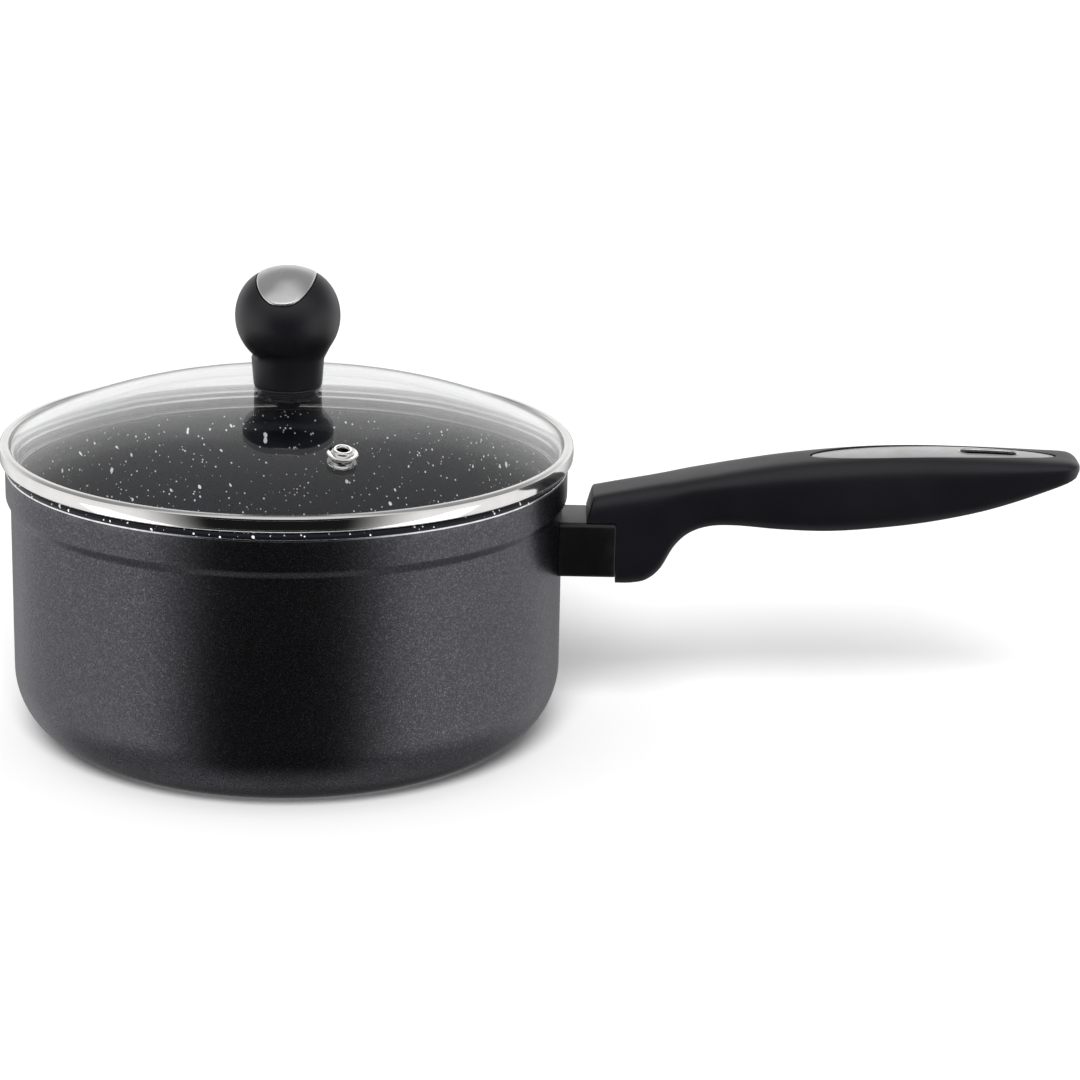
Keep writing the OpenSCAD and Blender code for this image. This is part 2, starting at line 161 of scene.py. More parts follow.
def mesh_object(
    name: str, points: Iterable[Vector], faces: Iterable[Sequence[int]], crease: float = 35
) -> bpy.types.Object:
    """Makes a smooth-shaded mesh object whose sharp edges stay sharp.

    Args:
        name: The piece's name.
        points: The vertices.
        faces: The faces, as vertex numbers.
        crease: Edges that turn by more than this many degrees stay sharp.

    Returns:
        The new object, linked to the scene.
    """
    mesh = bpy.data.meshes.new(name)
    mesh.from_pydata([tuple(p) for p in points], [], [tuple(f) for f in faces])
    tidy(mesh, crease)
    piece = bpy.data.objects.new(name, mesh)
    bpy.context.scene.collection.objects.link(piece)
    return piece


def tidy(mesh: bpy.types.Mesh, crease: float) -> None:
    """Joins doubled points, points all faces outwards and shades the mesh smooth.

    Args:
        mesh: The mesh, which is changed.
        crease: Edges that turn by more than this many degrees stay sharp.
    """
    work = bmesh.new()
    work.from_mesh(mesh)
    bmesh.ops.remove_doubles(work, verts=work.verts, dist=1e-7)
    bmesh.ops.dissolve_degenerate(work, edges=work.edges, dist=1e-7)
    bmesh.ops.recalc_face_normals(work, faces=work.faces)
    work.to_mesh(mesh)
    work.free()
    mesh.shade_smooth()
    mesh.set_sharp_from_angle(angle=math.radians(crease))


def lathe(
    name: str, outline: Outline, closed: bool, segments: int = 160, crease: float = 35
) -> bpy.types.Object:
    """Turns an outline about the Z axis.

    Args:
        name: The piece's name.
        outline: Points as (distance from the axis, height).
        closed: True where the outline closes on itself, False where both ends lie on the axis.
        segments: The number of steps round the axis.
        crease: Edges that turn by more than this many degrees stay sharp.

    Returns:
        The turned piece.
    """
    points = [
        Vector((r * math.cos(TURN * k / segments), r * math.sin(TURN * k / segments), z))
        for r, z in outline
        for k in range(segments)
    ]
    rows = len(outline)
    last = rows if closed else rows - 1
    faces = [
        (
            i * segments + k,
            i * segments + (k + 1) % segments,
            (i + 1) % rows * segments + (k + 1) % segments,
            (i + 1) % rows * segments + k,
        )
        for i in range(last)
        for k in range(segments)
    ]
    return mesh_object(name, points, faces, crease)


def loft(name: str, rings: Sequence[Ring], closed: bool = False, crease: float = 35) -> bpy.types.Object:
    """Skins a row of rings that all have the same number of points.

    Args:
        name: The piece's name.
        rings: The rings, in order.
        closed: True where the last ring joins the first, False where both ends are capped.
        crease: Edges that turn by more than this many degrees stay sharp.

    Returns:
        The closed piece.
    """
    size = len(rings[0])
    count = len(rings)
    faces = [
        (
            i * size + k,
            i * size + (k + 1) % size,
            (i + 1) % count * size + (k + 1) % size,
            (i + 1) % count * size + k,
        )
        for i in range(count if closed else count - 1)
        for k in range(size)
    ]
    if not closed:
        faces.append(tuple(range(size)))
        faces.append(tuple((count - 1) * size + k for k in range(size)))
    return mesh_object(name, [p for ring in rings for p in ring], faces, crease)


def bake_modifiers(piece: bpy.types.Object, crease: float) -> None:
    """Replaces a piece's mesh with its modifiers' result.

    Args:
        piece: The piece.
        crease: Edges that turn by more than this many degrees stay sharp.
    """
    bpy.context.view_layer.update()
    shaped = piece.evaluated_get(bpy.context.evaluated_depsgraph_get())
    mesh = bpy.data.meshes.new_from_object(shaped)
    piece.modifiers.clear()
    piece.data = mesh
    tidy(mesh, crease)


def cut(piece: bpy.types.Object, *cutters: bpy.types.Object, crease: float = 35) -> None:
    """Cuts solids out of a piece and removes them.

    Args:
        piece: The piece, which is changed.
        cutters: The solids to take away.
        crease: Edges that turn by more than this many degrees stay sharp.
    """
    for cutter in cutters:
        step = piece.modifiers.new("cut", "BOOLEAN")
        step.operation = "DIFFERENCE"
        step.solver = "EXACT"
        step.object = cutter
        bake_modifiers(piece, crease)
        bpy.data.objects.remove(cutter)


def rod(name: str, start: Vector, stop: Vector, radius: float, sides: int = 48) -> bpy.types.Object:
    """Makes a round cutter between two points.

    Args:
        name: The cutter's name.
        start: The middle of one end.
        stop: The middle of the other end.
        radius: The cutter's radius.
        sides: The number of points round it.

    Returns:
        The cutter.
    """
    turn = (stop - start).to_track_quat("Z", "Y")
    circle = [
        turn @ Vector((radius * math.cos(TURN * k / sides), radius * math.sin(TURN * k / sides), 0))
        for k in range(sides)
    ]
    return loft(name, [[start + c for c in circle], [stop + c for c in circle]])


# ----------------------------------------------------------------------------------------------- shading


class Wiring:
    """Adds nodes to one node tree and joins them."""

    def __init__(self, tree: bpy.types.NodeTree) -> None:
        """Keeps the tree to work in.

        Args:
            tree: A material's, world's or group's node tree.
        """
        self.tree = tree

    def add(self, kind: str, inputs: dict | None = None, **settings: object) -> bpy.types.Node:
        """Adds a node.

        Args:
            kind: The node's type, without its "ShaderNode" prefix.
            inputs: Socket names or numbers, each with a value or with an output socket to join to it.
            settings: The node's own properties.

        Returns:
            The new node.
        """
        node = self.tree.nodes.new("ShaderNode" + kind)
        for name, value in settings.items():
            setattr(node, name, value)
        for name, value in (inputs or {}).items():
            if isinstance(value, bpy.types.NodeSocket):
                self.tree.links.new(value, node.inputs[name])
            else:
                node.inputs[name].default_value = value
        return node

    def sum(self, operation: str, *values: Value) -> bpy.types.NodeSocket:
        """Adds a Math node.

        Args:
            operation: The Math node's operation.
            values: Its inputs, as numbers or output sockets.

        Returns:
            The result's socket.
        """
        return self.add("Math", dict(enumerate(values)), operation=operation).outputs[0]

    def spread(
        self, value: Value, low: float, high: float, to_low: float, to_high: float, smooth: bool = True
    ) -> bpy.types.NodeSocket:
        """Maps one range of values to another, with both ends held.

        Args:
            value: The socket to map.
            low: The low end of the incoming range.
            high: The high end of the incoming range.
            to_low: What low becomes.
            to_high: What high becomes.
            smooth: True for a soft step.

        Returns:
            The result's socket.
        """
        node = self.add(
            "MapRange",
            {"Value": value, "From Min": low, "From Max": high, "To Min": to_low, "To Max": to_high},
            interpolation_type="SMOOTHSTEP" if smooth else "LINEAR",
            clamp=True,
        )
        return node.outputs["Result"]

    def mix(self, factor: Value, first: Tint, second: Tint) -> bpy.types.NodeSocket:
        """Mixes two colours.

        Args:
            factor: How much of the second colour shows.
            first: The first colour or its socket.
            second: The second colour or its socket.

        Returns:
            The mixed colour's socket.
        """
        node = self.add("Mix", data_type="RGBA")
        for place, value in (("Factor_Float", factor), ("A_Color", first), ("B_Color", second)):
            socket = next(s for s in node.inputs if s.identifier == place)
            if isinstance(value, bpy.types.NodeSocket):
                self.tree.links.new(value, socket)
            else:
                socket.default_value = value if isinstance(value, float) else (*value, 1)
        return next(s for s in node.outputs if s.identifier == "Result_Color")


class Effect(Enum):
    """The patterns that several finishes share, each a node group that is made once."""

    GRAIN = "moulded_grain"
    FLAKES = "metal_flakes"
    FLECKS = "stone_flecks"
    HANDLING = "handling_marks"
    TURNING = "turned_rings"
    BRUSHING = "brushed_lines"
    WEAR = "edge_wear"


class Effects:
    """Makes the shared node groups and places them in materials."""

    def __init__(self) -> None:
        """Makes each group once."""
        makers: dict[Effect, Callable[[Wiring, bpy.types.Node, bpy.types.Node], None]] = {
            Effect.GRAIN: self._grain,
            Effect.FLAKES: self._flakes,
            Effect.FLECKS: self._flecks,
            Effect.HANDLING: self._handling,
            Effect.TURNING: self._turning,
            Effect.BRUSHING: self._brushing,
            Effect.WEAR: self._wear,
        }
        sockets: dict[Effect, tuple[dict[str, float], list[str]]] = {
            Effect.GRAIN: ({"Size": 0.0004}, ["Height", "Tone"]),
            Effect.FLAKES: ({"Size": 0.0003}, ["Flake", "Height"]),
            Effect.FLECKS: ({"Spacing": 0.004, "Size": 0.3, "Share": 0.5, "Stretch": 1.0}, ["Mask"]),
            Effect.HANDLING: ({"Size": 0.03, "Roughness": 0.3, "Spread": 0.05}, ["Roughness", "Tone"]),
            Effect.TURNING: ({"Pitch": 0.0003}, ["Height", "Tone"]),
            Effect.BRUSHING: ({"Width": 0.0001}, ["Height", "Tone"]),
            Effect.WEAR: ({"Reach": 0.5}, ["Mask"]),
        }
        self.groups: dict[Effect, bpy.types.NodeTree] = {}
        for effect, (inputs, outputs) in sockets.items():
            group = bpy.data.node_groups.new(effect.value, "ShaderNodeTree")
            for name, value in inputs.items():
                socket = group.interface.new_socket(name, in_out="INPUT", socket_type="NodeSocketFloat")
                socket.default_value = value
            for name in outputs:
                group.interface.new_socket(name, in_out="OUTPUT", socket_type="NodeSocketFloat")
            entry = group.nodes.new("NodeGroupInput")
            leave = group.nodes.new("NodeGroupOutput")
            makers[effect](Wiring(group), entry, leave)
            self.groups[effect] = group

    def place(self, wiring: Wiring, effect: Effect, **values: float) -> bpy.types.Node:
        """Places a shared effect in a material.

        Args:
            wiring: The material's wiring.
            effect: Which effect.
            values: The group's inputs, in lower case.

        Returns:
            The group node.
        """
        node = wiring.tree.nodes.new("ShaderNodeGroup")
        node.node_tree = self.groups[effect]
        for name, value in values.items():
            node.inputs[name.capitalize()].default_value = value
        return node

    @staticmethod
    def _place_on_piece(wiring: Wiring) -> bpy.types.NodeSocket:
        """The place on the piece, in metres."""
        return wiring.add("TexCoord").outputs["Object"]

    def _grain(self, w: Wiring, entry: bpy.types.Node, leave: bpy.types.Node) -> None:
        """Fine pebbled grain of moulded plastic and sprayed coats.

        Args:
            w: The group's wiring.
            entry: The group's input node.
            leave: The group's output node.
        """
        scale = w.sum("DIVIDE", 1.0, entry.outputs["Size"])
        where = self._place_on_piece(w)
        fine = w.add("TexNoise", {"Vector": where, "Scale": scale, "Detail": 2.0, "Roughness": 0.6})
        broad = w.add("TexNoise", {"Vector": where, "Scale": w.sum("MULTIPLY", scale, 0.013), "Detail": 3.0})
        w.tree.links.new(fine.outputs["Fac"], leave.inputs["Height"])
        w.tree.links.new(w.spread(broad.outputs["Fac"], 0.3, 0.7, 0, 1), leave.inputs["Tone"])

    def _flakes(self, w: Wiring, entry: bpy.types.Node, leave: bpy.types.Node) -> None:
        """Metal flakes in enamel: every cell catches the light by its own amount.

        Args:
            w: The group's wiring.
            entry: The group's input node.
            leave: The group's output node.
        """
        scale = w.sum("DIVIDE", 1.0, entry.outputs["Size"])
        where = self._place_on_piece(w)
        cells = w.add("TexVoronoi", {"Vector": where, "Scale": scale, "Randomness": 1.0})
        shade = w.add("SeparateColor", {"Color": cells.outputs["Color"]})
        clump = w.add("TexNoise", {"Vector": where, "Scale": w.sum("MULTIPLY", scale, 0.4), "Detail": 1.0})
        bright = w.spread(shade.outputs["Red"], 0.55, 1.0, 0, 1, smooth=False)
        flake = w.sum("MULTIPLY", bright, w.spread(clump.outputs["Fac"], 0.35, 0.65, 0.35, 1))
        w.tree.links.new(flake, leave.inputs["Flake"])
        w.tree.links.new(shade.outputs["Green"], leave.inputs["Height"])

    def _flecks(self, w: Wiring, entry: bpy.types.Node, leave: bpy.types.Node) -> None:
        """Spattered flecks of one size, stretched along one slant.

        Args:
            w: The group's wiring.
            entry: The group's input node.
            leave: The group's output node.
        """
        lean = math.radians(-30)
        stretch = w.add("CombineXYZ", {"X": 1.0, "Y": 1.0, "Z": entry.outputs["Stretch"]})
        slanted = w.add(
            "Mapping",
            {
                "Vector": self._place_on_piece(w),
                "Location": (0.003, 0.001, 0.002),
                "Rotation": (0, lean, 0),
                "Scale": stretch.outputs[0],
            },
            vector_type="TEXTURE",
        )
        scale = w.sum("DIVIDE", 1.0, entry.outputs["Spacing"])
        cells = w.add("TexVoronoi", {"Vector": slanted.outputs[0], "Scale": scale, "Randomness": 1.0})
        ragged = w.add(
            "TexNoise",
            {"Vector": slanted.outputs[0], "Scale": w.sum("MULTIPLY", scale, 5.0), "Detail": 2.0},
        )
        shade = w.add("SeparateColor", {"Color": cells.outputs["Color"]})
        growth = w.sum("MULTIPLY_ADD", w.sum("POWER", shade.outputs["Green"], 2.0), 0.7, 0.35)
        reach = w.sum("MULTIPLY", entry.outputs["Size"], growth)
        edge = w.sum("SUBTRACT", ragged.outputs["Fac"], 0.5)
        distance = w.sum("MULTIPLY_ADD", edge, 0.16, cells.outputs["Distance"])
        inside = w.spread(w.sum("SUBTRACT", reach, distance), -0.01, 0.015, 0, 1)
        clump = w.add("TexNoise", {"Vector": slanted.outputs[0], "Scale": 70.0, "Detail": 1.0})
        crowd = w.sum("MULTIPLY", entry.outputs["Share"], w.spread(clump.outputs["Fac"], 0.35, 0.6, 0.4, 1.5))
        kept = w.sum("LESS_THAN", shade.outputs["Red"], crowd)
        w.tree.links.new(w.sum("MULTIPLY", inside, kept), leave.inputs["Mask"])

    def _handling(self, w: Wiring, entry: bpy.types.Node, leave: bpy.types.Node) -> None:
        """Faint wipe marks that change the gloss from place to place.

        Args:
            w: The group's wiring.
            entry: The group's input node.
            leave: The group's output node.
        """
        scale = w.sum("DIVIDE", 1.0, entry.outputs["Size"])
        where = self._place_on_piece(w)
        wipes = w.add(
            "TexNoise",
            {"Vector": where, "Scale": scale, "Detail": 5.0, "Roughness": 0.55, "Distortion": 0.8},
        )
        tone = w.spread(wipes.outputs["Fac"], 0.3, 0.7, 0, 1)
        change = w.sum("MULTIPLY", w.sum("SUBTRACT", tone, 0.5), entry.outputs["Spread"])
        w.tree.links.new(w.sum("ADD", entry.outputs["Roughness"], change), leave.inputs["Roughness"])
        w.tree.links.new(tone, leave.inputs["Tone"])

    def _turning(self, w: Wiring, entry: bpy.types.Node, leave: bpy.types.Node) -> None:
        """Rings left by turning on a lathe, about the Z axis.

        Args:
            w: The group's wiring.
            entry: The group's input node.
            leave: The group's output node.
        """
        parts = w.add("SeparateXYZ", {"Vector": self._place_on_piece(w)})
        x, y, z = (parts.outputs[axis] for axis in "XYZ")
        squares = w.sum("ADD", w.sum("POWER", x, 2.0), w.sum("POWER", y, 2.0))
        distance = w.sum("ADD", w.sum("SQRT", squares), z)
        rings = w.add(
            "TexNoise",
            {"W": w.sum("DIVIDE", distance, entry.outputs["Pitch"]), "Scale": 1.0, "Detail": 3.0},
            noise_dimensions="1D",
        )
        w.tree.links.new(rings.outputs["Fac"], leave.inputs["Height"])
        w.tree.links.new(w.spread(rings.outputs["Fac"], 0.3, 0.7, 0, 1), leave.inputs["Tone"])

    def _brushing(self, w: Wiring, entry: bpy.types.Node, leave: bpy.types.Node) -> None:
        """Fine scratches along the handle's direction.

        Args:
            w: The group's wiring.
            entry: The group's input node.
            leave: The group's output node.
        """
        scale = w.sum("DIVIDE", 1.0, entry.outputs["Width"])
        drawn = w.add("VectorMath", {0: self._place_on_piece(w), 1: (0.02, 1, 1)}, operation="MULTIPLY")
        lines = w.add(
            "TexNoise", {"Vector": drawn.outputs[0], "Scale": scale, "Detail": 4.0, "Roughness": 0.7}
        )
        w.tree.links.new(lines.outputs["Fac"], leave.inputs["Height"])
        w.tree.links.new(w.spread(lines.outputs["Fac"], 0.3, 0.7, 0, 1), leave.inputs["Tone"])

    def _wear(self, w: Wiring, entry: bpy.types.Node, leave: bpy.types.Node) -> None:
        """Edges and corners that rubbing has polished, broken up by noise.

        Args:
            w: The group's wiring.
            entry: The group's input node.
            leave: The group's output node.
        """
        edges = w.spread(w.add("NewGeometry").outputs["Pointiness"], 0.5, 0.56, 0, 1)
        patchy = w.add("TexNoise", {"Vector": self._place_on_piece(w), "Scale": 260.0, "Detail": 3.0})
        broken = w.spread(patchy.outputs["Fac"], 0.35, 0.65, 0, 1)
        w.tree.links.new(
            w.sum("MULTIPLY", w.sum("MULTIPLY", edges, broken), entry.outputs["Reach"]), leave.inputs["Mask"]
        )


def scaled(colour: Colour, share: float) -> Colour:
    """A colour made darker or lighter."""
    return tuple(min(1.0, c * share) for c in colour)


@dataclass(frozen=True)
class Finish:
    """What all finishes have in common: a name, which is also the record's slot, and a shader."""

    slot: str

    def start(self, colour: Colour, **values: float) -> tuple[bpy.types.Material, Wiring, bpy.types.Node]:
        """Starts a material with one Principled shader.

        Args:
            colour: The plain base colour.
            values: Other plain inputs of the shader, with _ for a space.

        Returns:
            The material, its wiring and its shader.
        """
        material = bpy.data.materials.new(self.slot)
        material.use_nodes = True
        wiring = Wiring(material.node_tree)
        shader = material.node_tree.nodes["Principled BSDF"]
        shader.inputs["Base Color"].default_value = (*colour, 1)
        for name, value in values.items():
            shader.inputs[name.replace("_", " ").title().replace("Ior", "IOR")].default_value = value
        return material, wiring, shader

    @staticmethod
    def bump(
        wiring: Wiring, shader: bpy.types.Node, height: bpy.types.NodeSocket, depth: float, strength: float
    ) -> None:
        """Joins a height to the shader's normal.

        Args:
            wiring: The material's wiring.
            shader: The shader.
            height: The height's socket, from 0 to 1.
            depth: How deep a height of 1 is, in metres.
            strength: How much of the bump shows.
        """
        node = wiring.add("Bump", {"Height": height, "Distance": depth, "Strength": strength})
        wiring.tree.links.new(node.outputs["Normal"], shader.inputs["Normal"])


@dataclass(frozen=True)
class Enamel(Finish):
    """Charcoal metallic enamel with a fine sparkle."""

    slot: str = "charcoal_enamel"
    dark: Colour = (0.072, 0.071, 0.08)
    light: Colour = (0.235, 0.232, 0.255)
    flake: float = 0.00024

    def material(self, effects: Effects) -> bpy.types.Material:
        """Makes the material.

        Args:
            effects: The shared effects.

        Returns:
            The material.
        """
        material, w, shader = self.start(self.dark, metallic=0.98)
        flakes = effects.place(w, Effect.FLAKES, size=self.flake)
        handling = effects.place(w, Effect.HANDLING, size=0.05, roughness=0.27, spread=0.03)
        wear = effects.place(w, Effect.WEAR, reach=0.25)
        sparkle = w.mix(flakes.outputs["Flake"], self.dark, self.light)
        w.tree.links.new(w.mix(wear.outputs["Mask"], sparkle, self.light), shader.inputs["Base Color"])
        rough = w.sum("MULTIPLY_ADD", flakes.outputs["Height"], 0.12, handling.outputs["Roughness"])
        w.tree.links.new(w.sum("SUBTRACT", rough, 0.06), shader.inputs["Roughness"])
        self.bump(w, shader, flakes.outputs["Height"], 0.000008, 0.5)
        shader.inputs["Specular Tint"].default_value = (0.75, 0.75, 0.76, 1)
        return material


@dataclass(frozen=True)
class StoneLining(Finish):
    """Blue-black non-stick coat with spattered white flecks."""

    slot: str = "stone_lining"
    ground: Colour = (0.0024, 0.003, 0.007)
    speck: Colour = (0.93, 0.94, 0.95)

    def material(self, effects: Effects) -> bpy.types.Material:
        """Makes the material.

        Args:
            effects: The shared effects.

        Returns:
            The material.
        """
        material, w, shader = self.start(self.ground, specular_ior_level=0.3)
        big = effects.place(w, Effect.FLECKS, spacing=0.0075, size=0.105, share=0.75, stretch=2.0)
        middle = effects.place(w, Effect.FLECKS, spacing=0.0036, size=0.17, share=0.95, stretch=1.5)
        dust = effects.place(w, Effect.FLECKS, spacing=0.0016, size=0.21, share=0.9, stretch=1.2)
        faint = w.sum("MULTIPLY", dust.outputs["Mask"], 0.9)
        flecks = w.sum("MAXIMUM", w.sum("MAXIMUM", big.outputs["Mask"], middle.outputs["Mask"]), faint)
        grain = effects.place(w, Effect.GRAIN, size=0.0006)
        handling = effects.place(w, Effect.HANDLING, size=0.02, roughness=0.36, spread=0.08)
        ground = w.mix(grain.outputs["Tone"], self.ground, scaled(self.ground, 1.35))
        w.tree.links.new(w.mix(flecks, ground, self.speck), shader.inputs["Base Color"])
        w.tree.links.new(handling.outputs["Roughness"], shader.inputs["Roughness"])
        height = w.sum("MULTIPLY_ADD", flecks, 0.5, w.sum("MULTIPLY", grain.outputs["Height"], 0.5))
        self.bump(w, shader, height, 0.00004, 0.5)
        return material


@dataclass(frozen=True)
class MouldedBlack(Finish):
    """Black moulded plastic, matt or soft to the touch."""

    slot: str = "soft_black"
    colour: Colour = (0.003, 0.0028, 0.0046)
    lifted: Colour = (0.0046, 0.0044, 0.0066)
    roughness: float = 0.4
    grain: float = 0.0004

    def material(self, effects: Effects) -> bpy.types.Material:
        """Makes the material.

        Args:
            effects: The shared effects.

        Returns:
            The material.
        """
        material, w, shader = self.start(self.colour)
        grain = effects.place(w, Effect.GRAIN, size=self.grain)
        handling = effects.place(w, Effect.HANDLING, size=0.024, roughness=self.roughness, spread=0.05)
        wear = effects.place(w, Effect.WEAR, reach=0.6)
        toned = w.mix(grain.outputs["Tone"], self.colour, self.lifted)
        rubbed = w.mix(wear.outputs["Mask"], toned, scaled(self.lifted, 2.2))
        w.tree.links.new(rubbed, shader.inputs["Base Color"])
        w.tree.links.new(handling.outputs["Roughness"], shader.inputs["Roughness"])
        self.bump(w, shader, grain.outputs["Height"], 0.00002, 0.5)
        return material


@dataclass(frozen=True)
class DrawnMetal(Finish):
    """Metal with drawn or brushed lines: satin silver, plated steel, brass."""

    slot: str
    colour: Colour
    roughness: float
    depth: float = 0.000006
    effect: Effect = Effect.BRUSHING
    line: float = 0.00012

    def material(self, effects: Effects) -> bpy.types.Material:
        """Makes the material.

        Args:
            effects: The shared effects.

        Returns:
            The material.
        """
        material, w, shader = self.start(self.colour, metallic=1.0)
        size = "pitch" if self.effect is Effect.TURNING else "width"
        lines = effects.place(w, self.effect, **{size: self.line})
        handling = effects.place(w, Effect.HANDLING, size=0.012, roughness=self.roughness, spread=0.08)
        wear = effects.place(w, Effect.WEAR, reach=0.8)
        toned = w.mix(lines.outputs["Tone"], scaled(self.colour, 0.86), self.colour)
        rubbed = w.mix(wear.outputs["Mask"], toned, scaled(self.colour, 1.3))
        w.tree.links.new(rubbed, shader.inputs["Base Color"])
        polish = -0.5 * self.roughness
        rough = w.sum("MULTIPLY_ADD", wear.outputs["Mask"], polish, handling.outputs["Roughness"])
        w.tree.links.new(rough, shader.inputs["Roughness"])
        self.bump(w, shader, lines.outputs["Height"], self.depth, 0.5)
        return material


@dataclass(frozen=True)
class MirrorSteel(Finish):
    """Mirror-polished stainless steel."""

    slot: str = "mirror_steel"
    colour: Colour = (0.82, 0.81, 0.8)

    def material(self, effects: Effects) -> bpy.types.Material:
        """Makes the material.

        Args:
            effects: The shared effects.

        Returns:
            The material.
        """
        material, w, shader = self.start(self.colour, metallic=1.0)
        handling = effects.place(w, Effect.HANDLING, size=0.015, roughness=0.075, spread=0.05)
        lines = effects.place(w, Effect.TURNING, pitch=0.0004)
        toned = w.mix(handling.outputs["Tone"], self.colour, scaled(self.colour, 0.93))
        w.tree.links.new(toned, shader.inputs["Base Color"])
        w.tree.links.new(handling.outputs["Roughness"], shader.inputs["Roughness"])
        self.bump(w, shader, lines.outputs["Height"], 0.000002, 0.3)
        return material


@dataclass(frozen=True)
class Silicone(Finish):
    """Soft sealing rubber."""

    slot: str
    colour: Colour
    roughness: float = 0.5

    def material(self, effects: Effects) -> bpy.types.Material:
        """Makes the material.

        Args:
            effects: The shared effects.

        Returns:
            The material.
        """
        material, w, shader = self.start(self.colour)
        grain = effects.place(w, Effect.GRAIN, size=0.0003)
        handling = effects.place(w, Effect.HANDLING, size=0.01, roughness=self.roughness, spread=0.1)
        toned = w.mix(grain.outputs["Tone"], self.colour, scaled(self.colour, 0.8))
        w.tree.links.new(toned, shader.inputs["Base Color"])
        w.tree.links.new(handling.outputs["Roughness"], shader.inputs["Roughness"])
        self.bump(w, shader, grain.outputs["Height"], 0.00001, 0.4)
        return material


@dataclass(frozen=True)
class TemperedGlass(Finish):
    """Clear glass that lets lamps and soft light through."""

    slot: str = "tempered_glass"
    colour: Colour = (0.985, 0.995, 0.99)

    def material(self, effects: Effects) -> bpy.types.Material:
        """Makes the material.

        Args:
            effects: The shared effects, of which glass has only the faintest wipe marks.

        Returns:
            The material.
        """
        material, w, shader = self.start(self.colour, metallic=0.0, transmission_weight=1.0, ior=1.5)
        marks = effects.place(w, Effect.HANDLING, size=0.04, roughness=0.0, spread=0.012)
        w.tree.links.new(w.sum("MAXIMUM", marks.outputs["Roughness"], 0.0), shader.inputs["Roughness"])
        path = w.add("LightPath")
        passing = w.sum("MAXIMUM", path.outputs["Is Shadow Ray"], path.outputs["Is Diffuse Ray"])
        clear = w.add("BsdfTransparent", {"Color": (0.93, 0.94, 0.94, 1)})
        mixed = w.add("MixShader", {0: passing, 1: shader.outputs[0], 2: clear.outputs[0]})
        w.tree.links.new(mixed.outputs[0], w.tree.nodes["Material Output"].inputs["Surface"])
        return material


class Wardrobe:
    """Every finish of the object, made once and handed out by slot."""

    def __init__(self, effects: Effects) -> None:
        """Makes the materials.

        Args:
            effects: The shared effects.
        """
        finishes = (
            Enamel(),
            StoneLining(),
            MouldedBlack(),
            MouldedBlack("guard_black", (0.002, 0.002, 0.0022), (0.0032, 0.0032, 0.0036), 0.36, 0.0003),
            DrawnMetal("satin_silver", (0.7, 0.7, 0.7), 0.34),
            DrawnMetal("bare_aluminium", (0.86, 0.86, 0.87), 0.24, effect=Effect.TURNING, line=0.00025),
            DrawnMetal("spun_steel", (0.6, 0.6, 0.61), 0.3, 0.00001, Effect.TURNING, 0.0005),
            DrawnMetal("zinc_steel", (0.08, 0.08, 0.085), 0.36),
            DrawnMetal("insert_brass", (0.78, 0.58, 0.25), 0.35),
            MirrorSteel(),
            Silicone("clear_silicone", (0.5, 0.51, 0.52), 0.35),
            Silicone("seal_rubber", (0.02, 0.02, 0.022)),
            TemperedGlass(),
        )
        self.materials = {finish.slot: finish.material(effects) for finish in finishes}

    def dress(self, piece: bpy.types.Object, slot: str) -> bpy.types.Object:
        """Gives a piece its finish.

        Args:
            piece: The piece.
            slot: The finish's name in the record.

        Returns:
            The piece.
        """
        piece.data.materials.clear()
        piece.data.materials.append(self.materials[slot])
        return piece


# -------------------------------------------------------------------------------------------- assemblies


@dataclass
class Assembly:
    """A group of pieces that ride on one body."""

    wardrobe: Wardrobe

    def fit(self, piece: bpy.types.Object, slot: str, body: Body, node: str) -> bpy.types.Object:
        """Dresses a new piece and puts it in the place of a CAD node.

        Args:
            piece: The new piece.
            slot: Its finish.
            body: The body that it rides on.
            node: The CAD node that it stands for.

        Returns:
            The piece.
        """
        self.wardrobe.dress(piece, slot)
        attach(piece, body.value)
        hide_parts(node)
        log.info("%s: %d faces, stands for %s on %s", piece.name, len(piece.data.polygons), node, body.value)
        return piece

    def keep(self, node: str, slot: str) -> None:
        """Gives a CAD node that stays visible its finish.

        Args:
            node: The CAD node.
            slot: Its finish.
        """
        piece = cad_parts[node]
        piece.data.materials.clear()
        piece.data.materials.append(self.wardrobe.materials[slot])
        log.info("%s: CAD node, %s", node, slot)


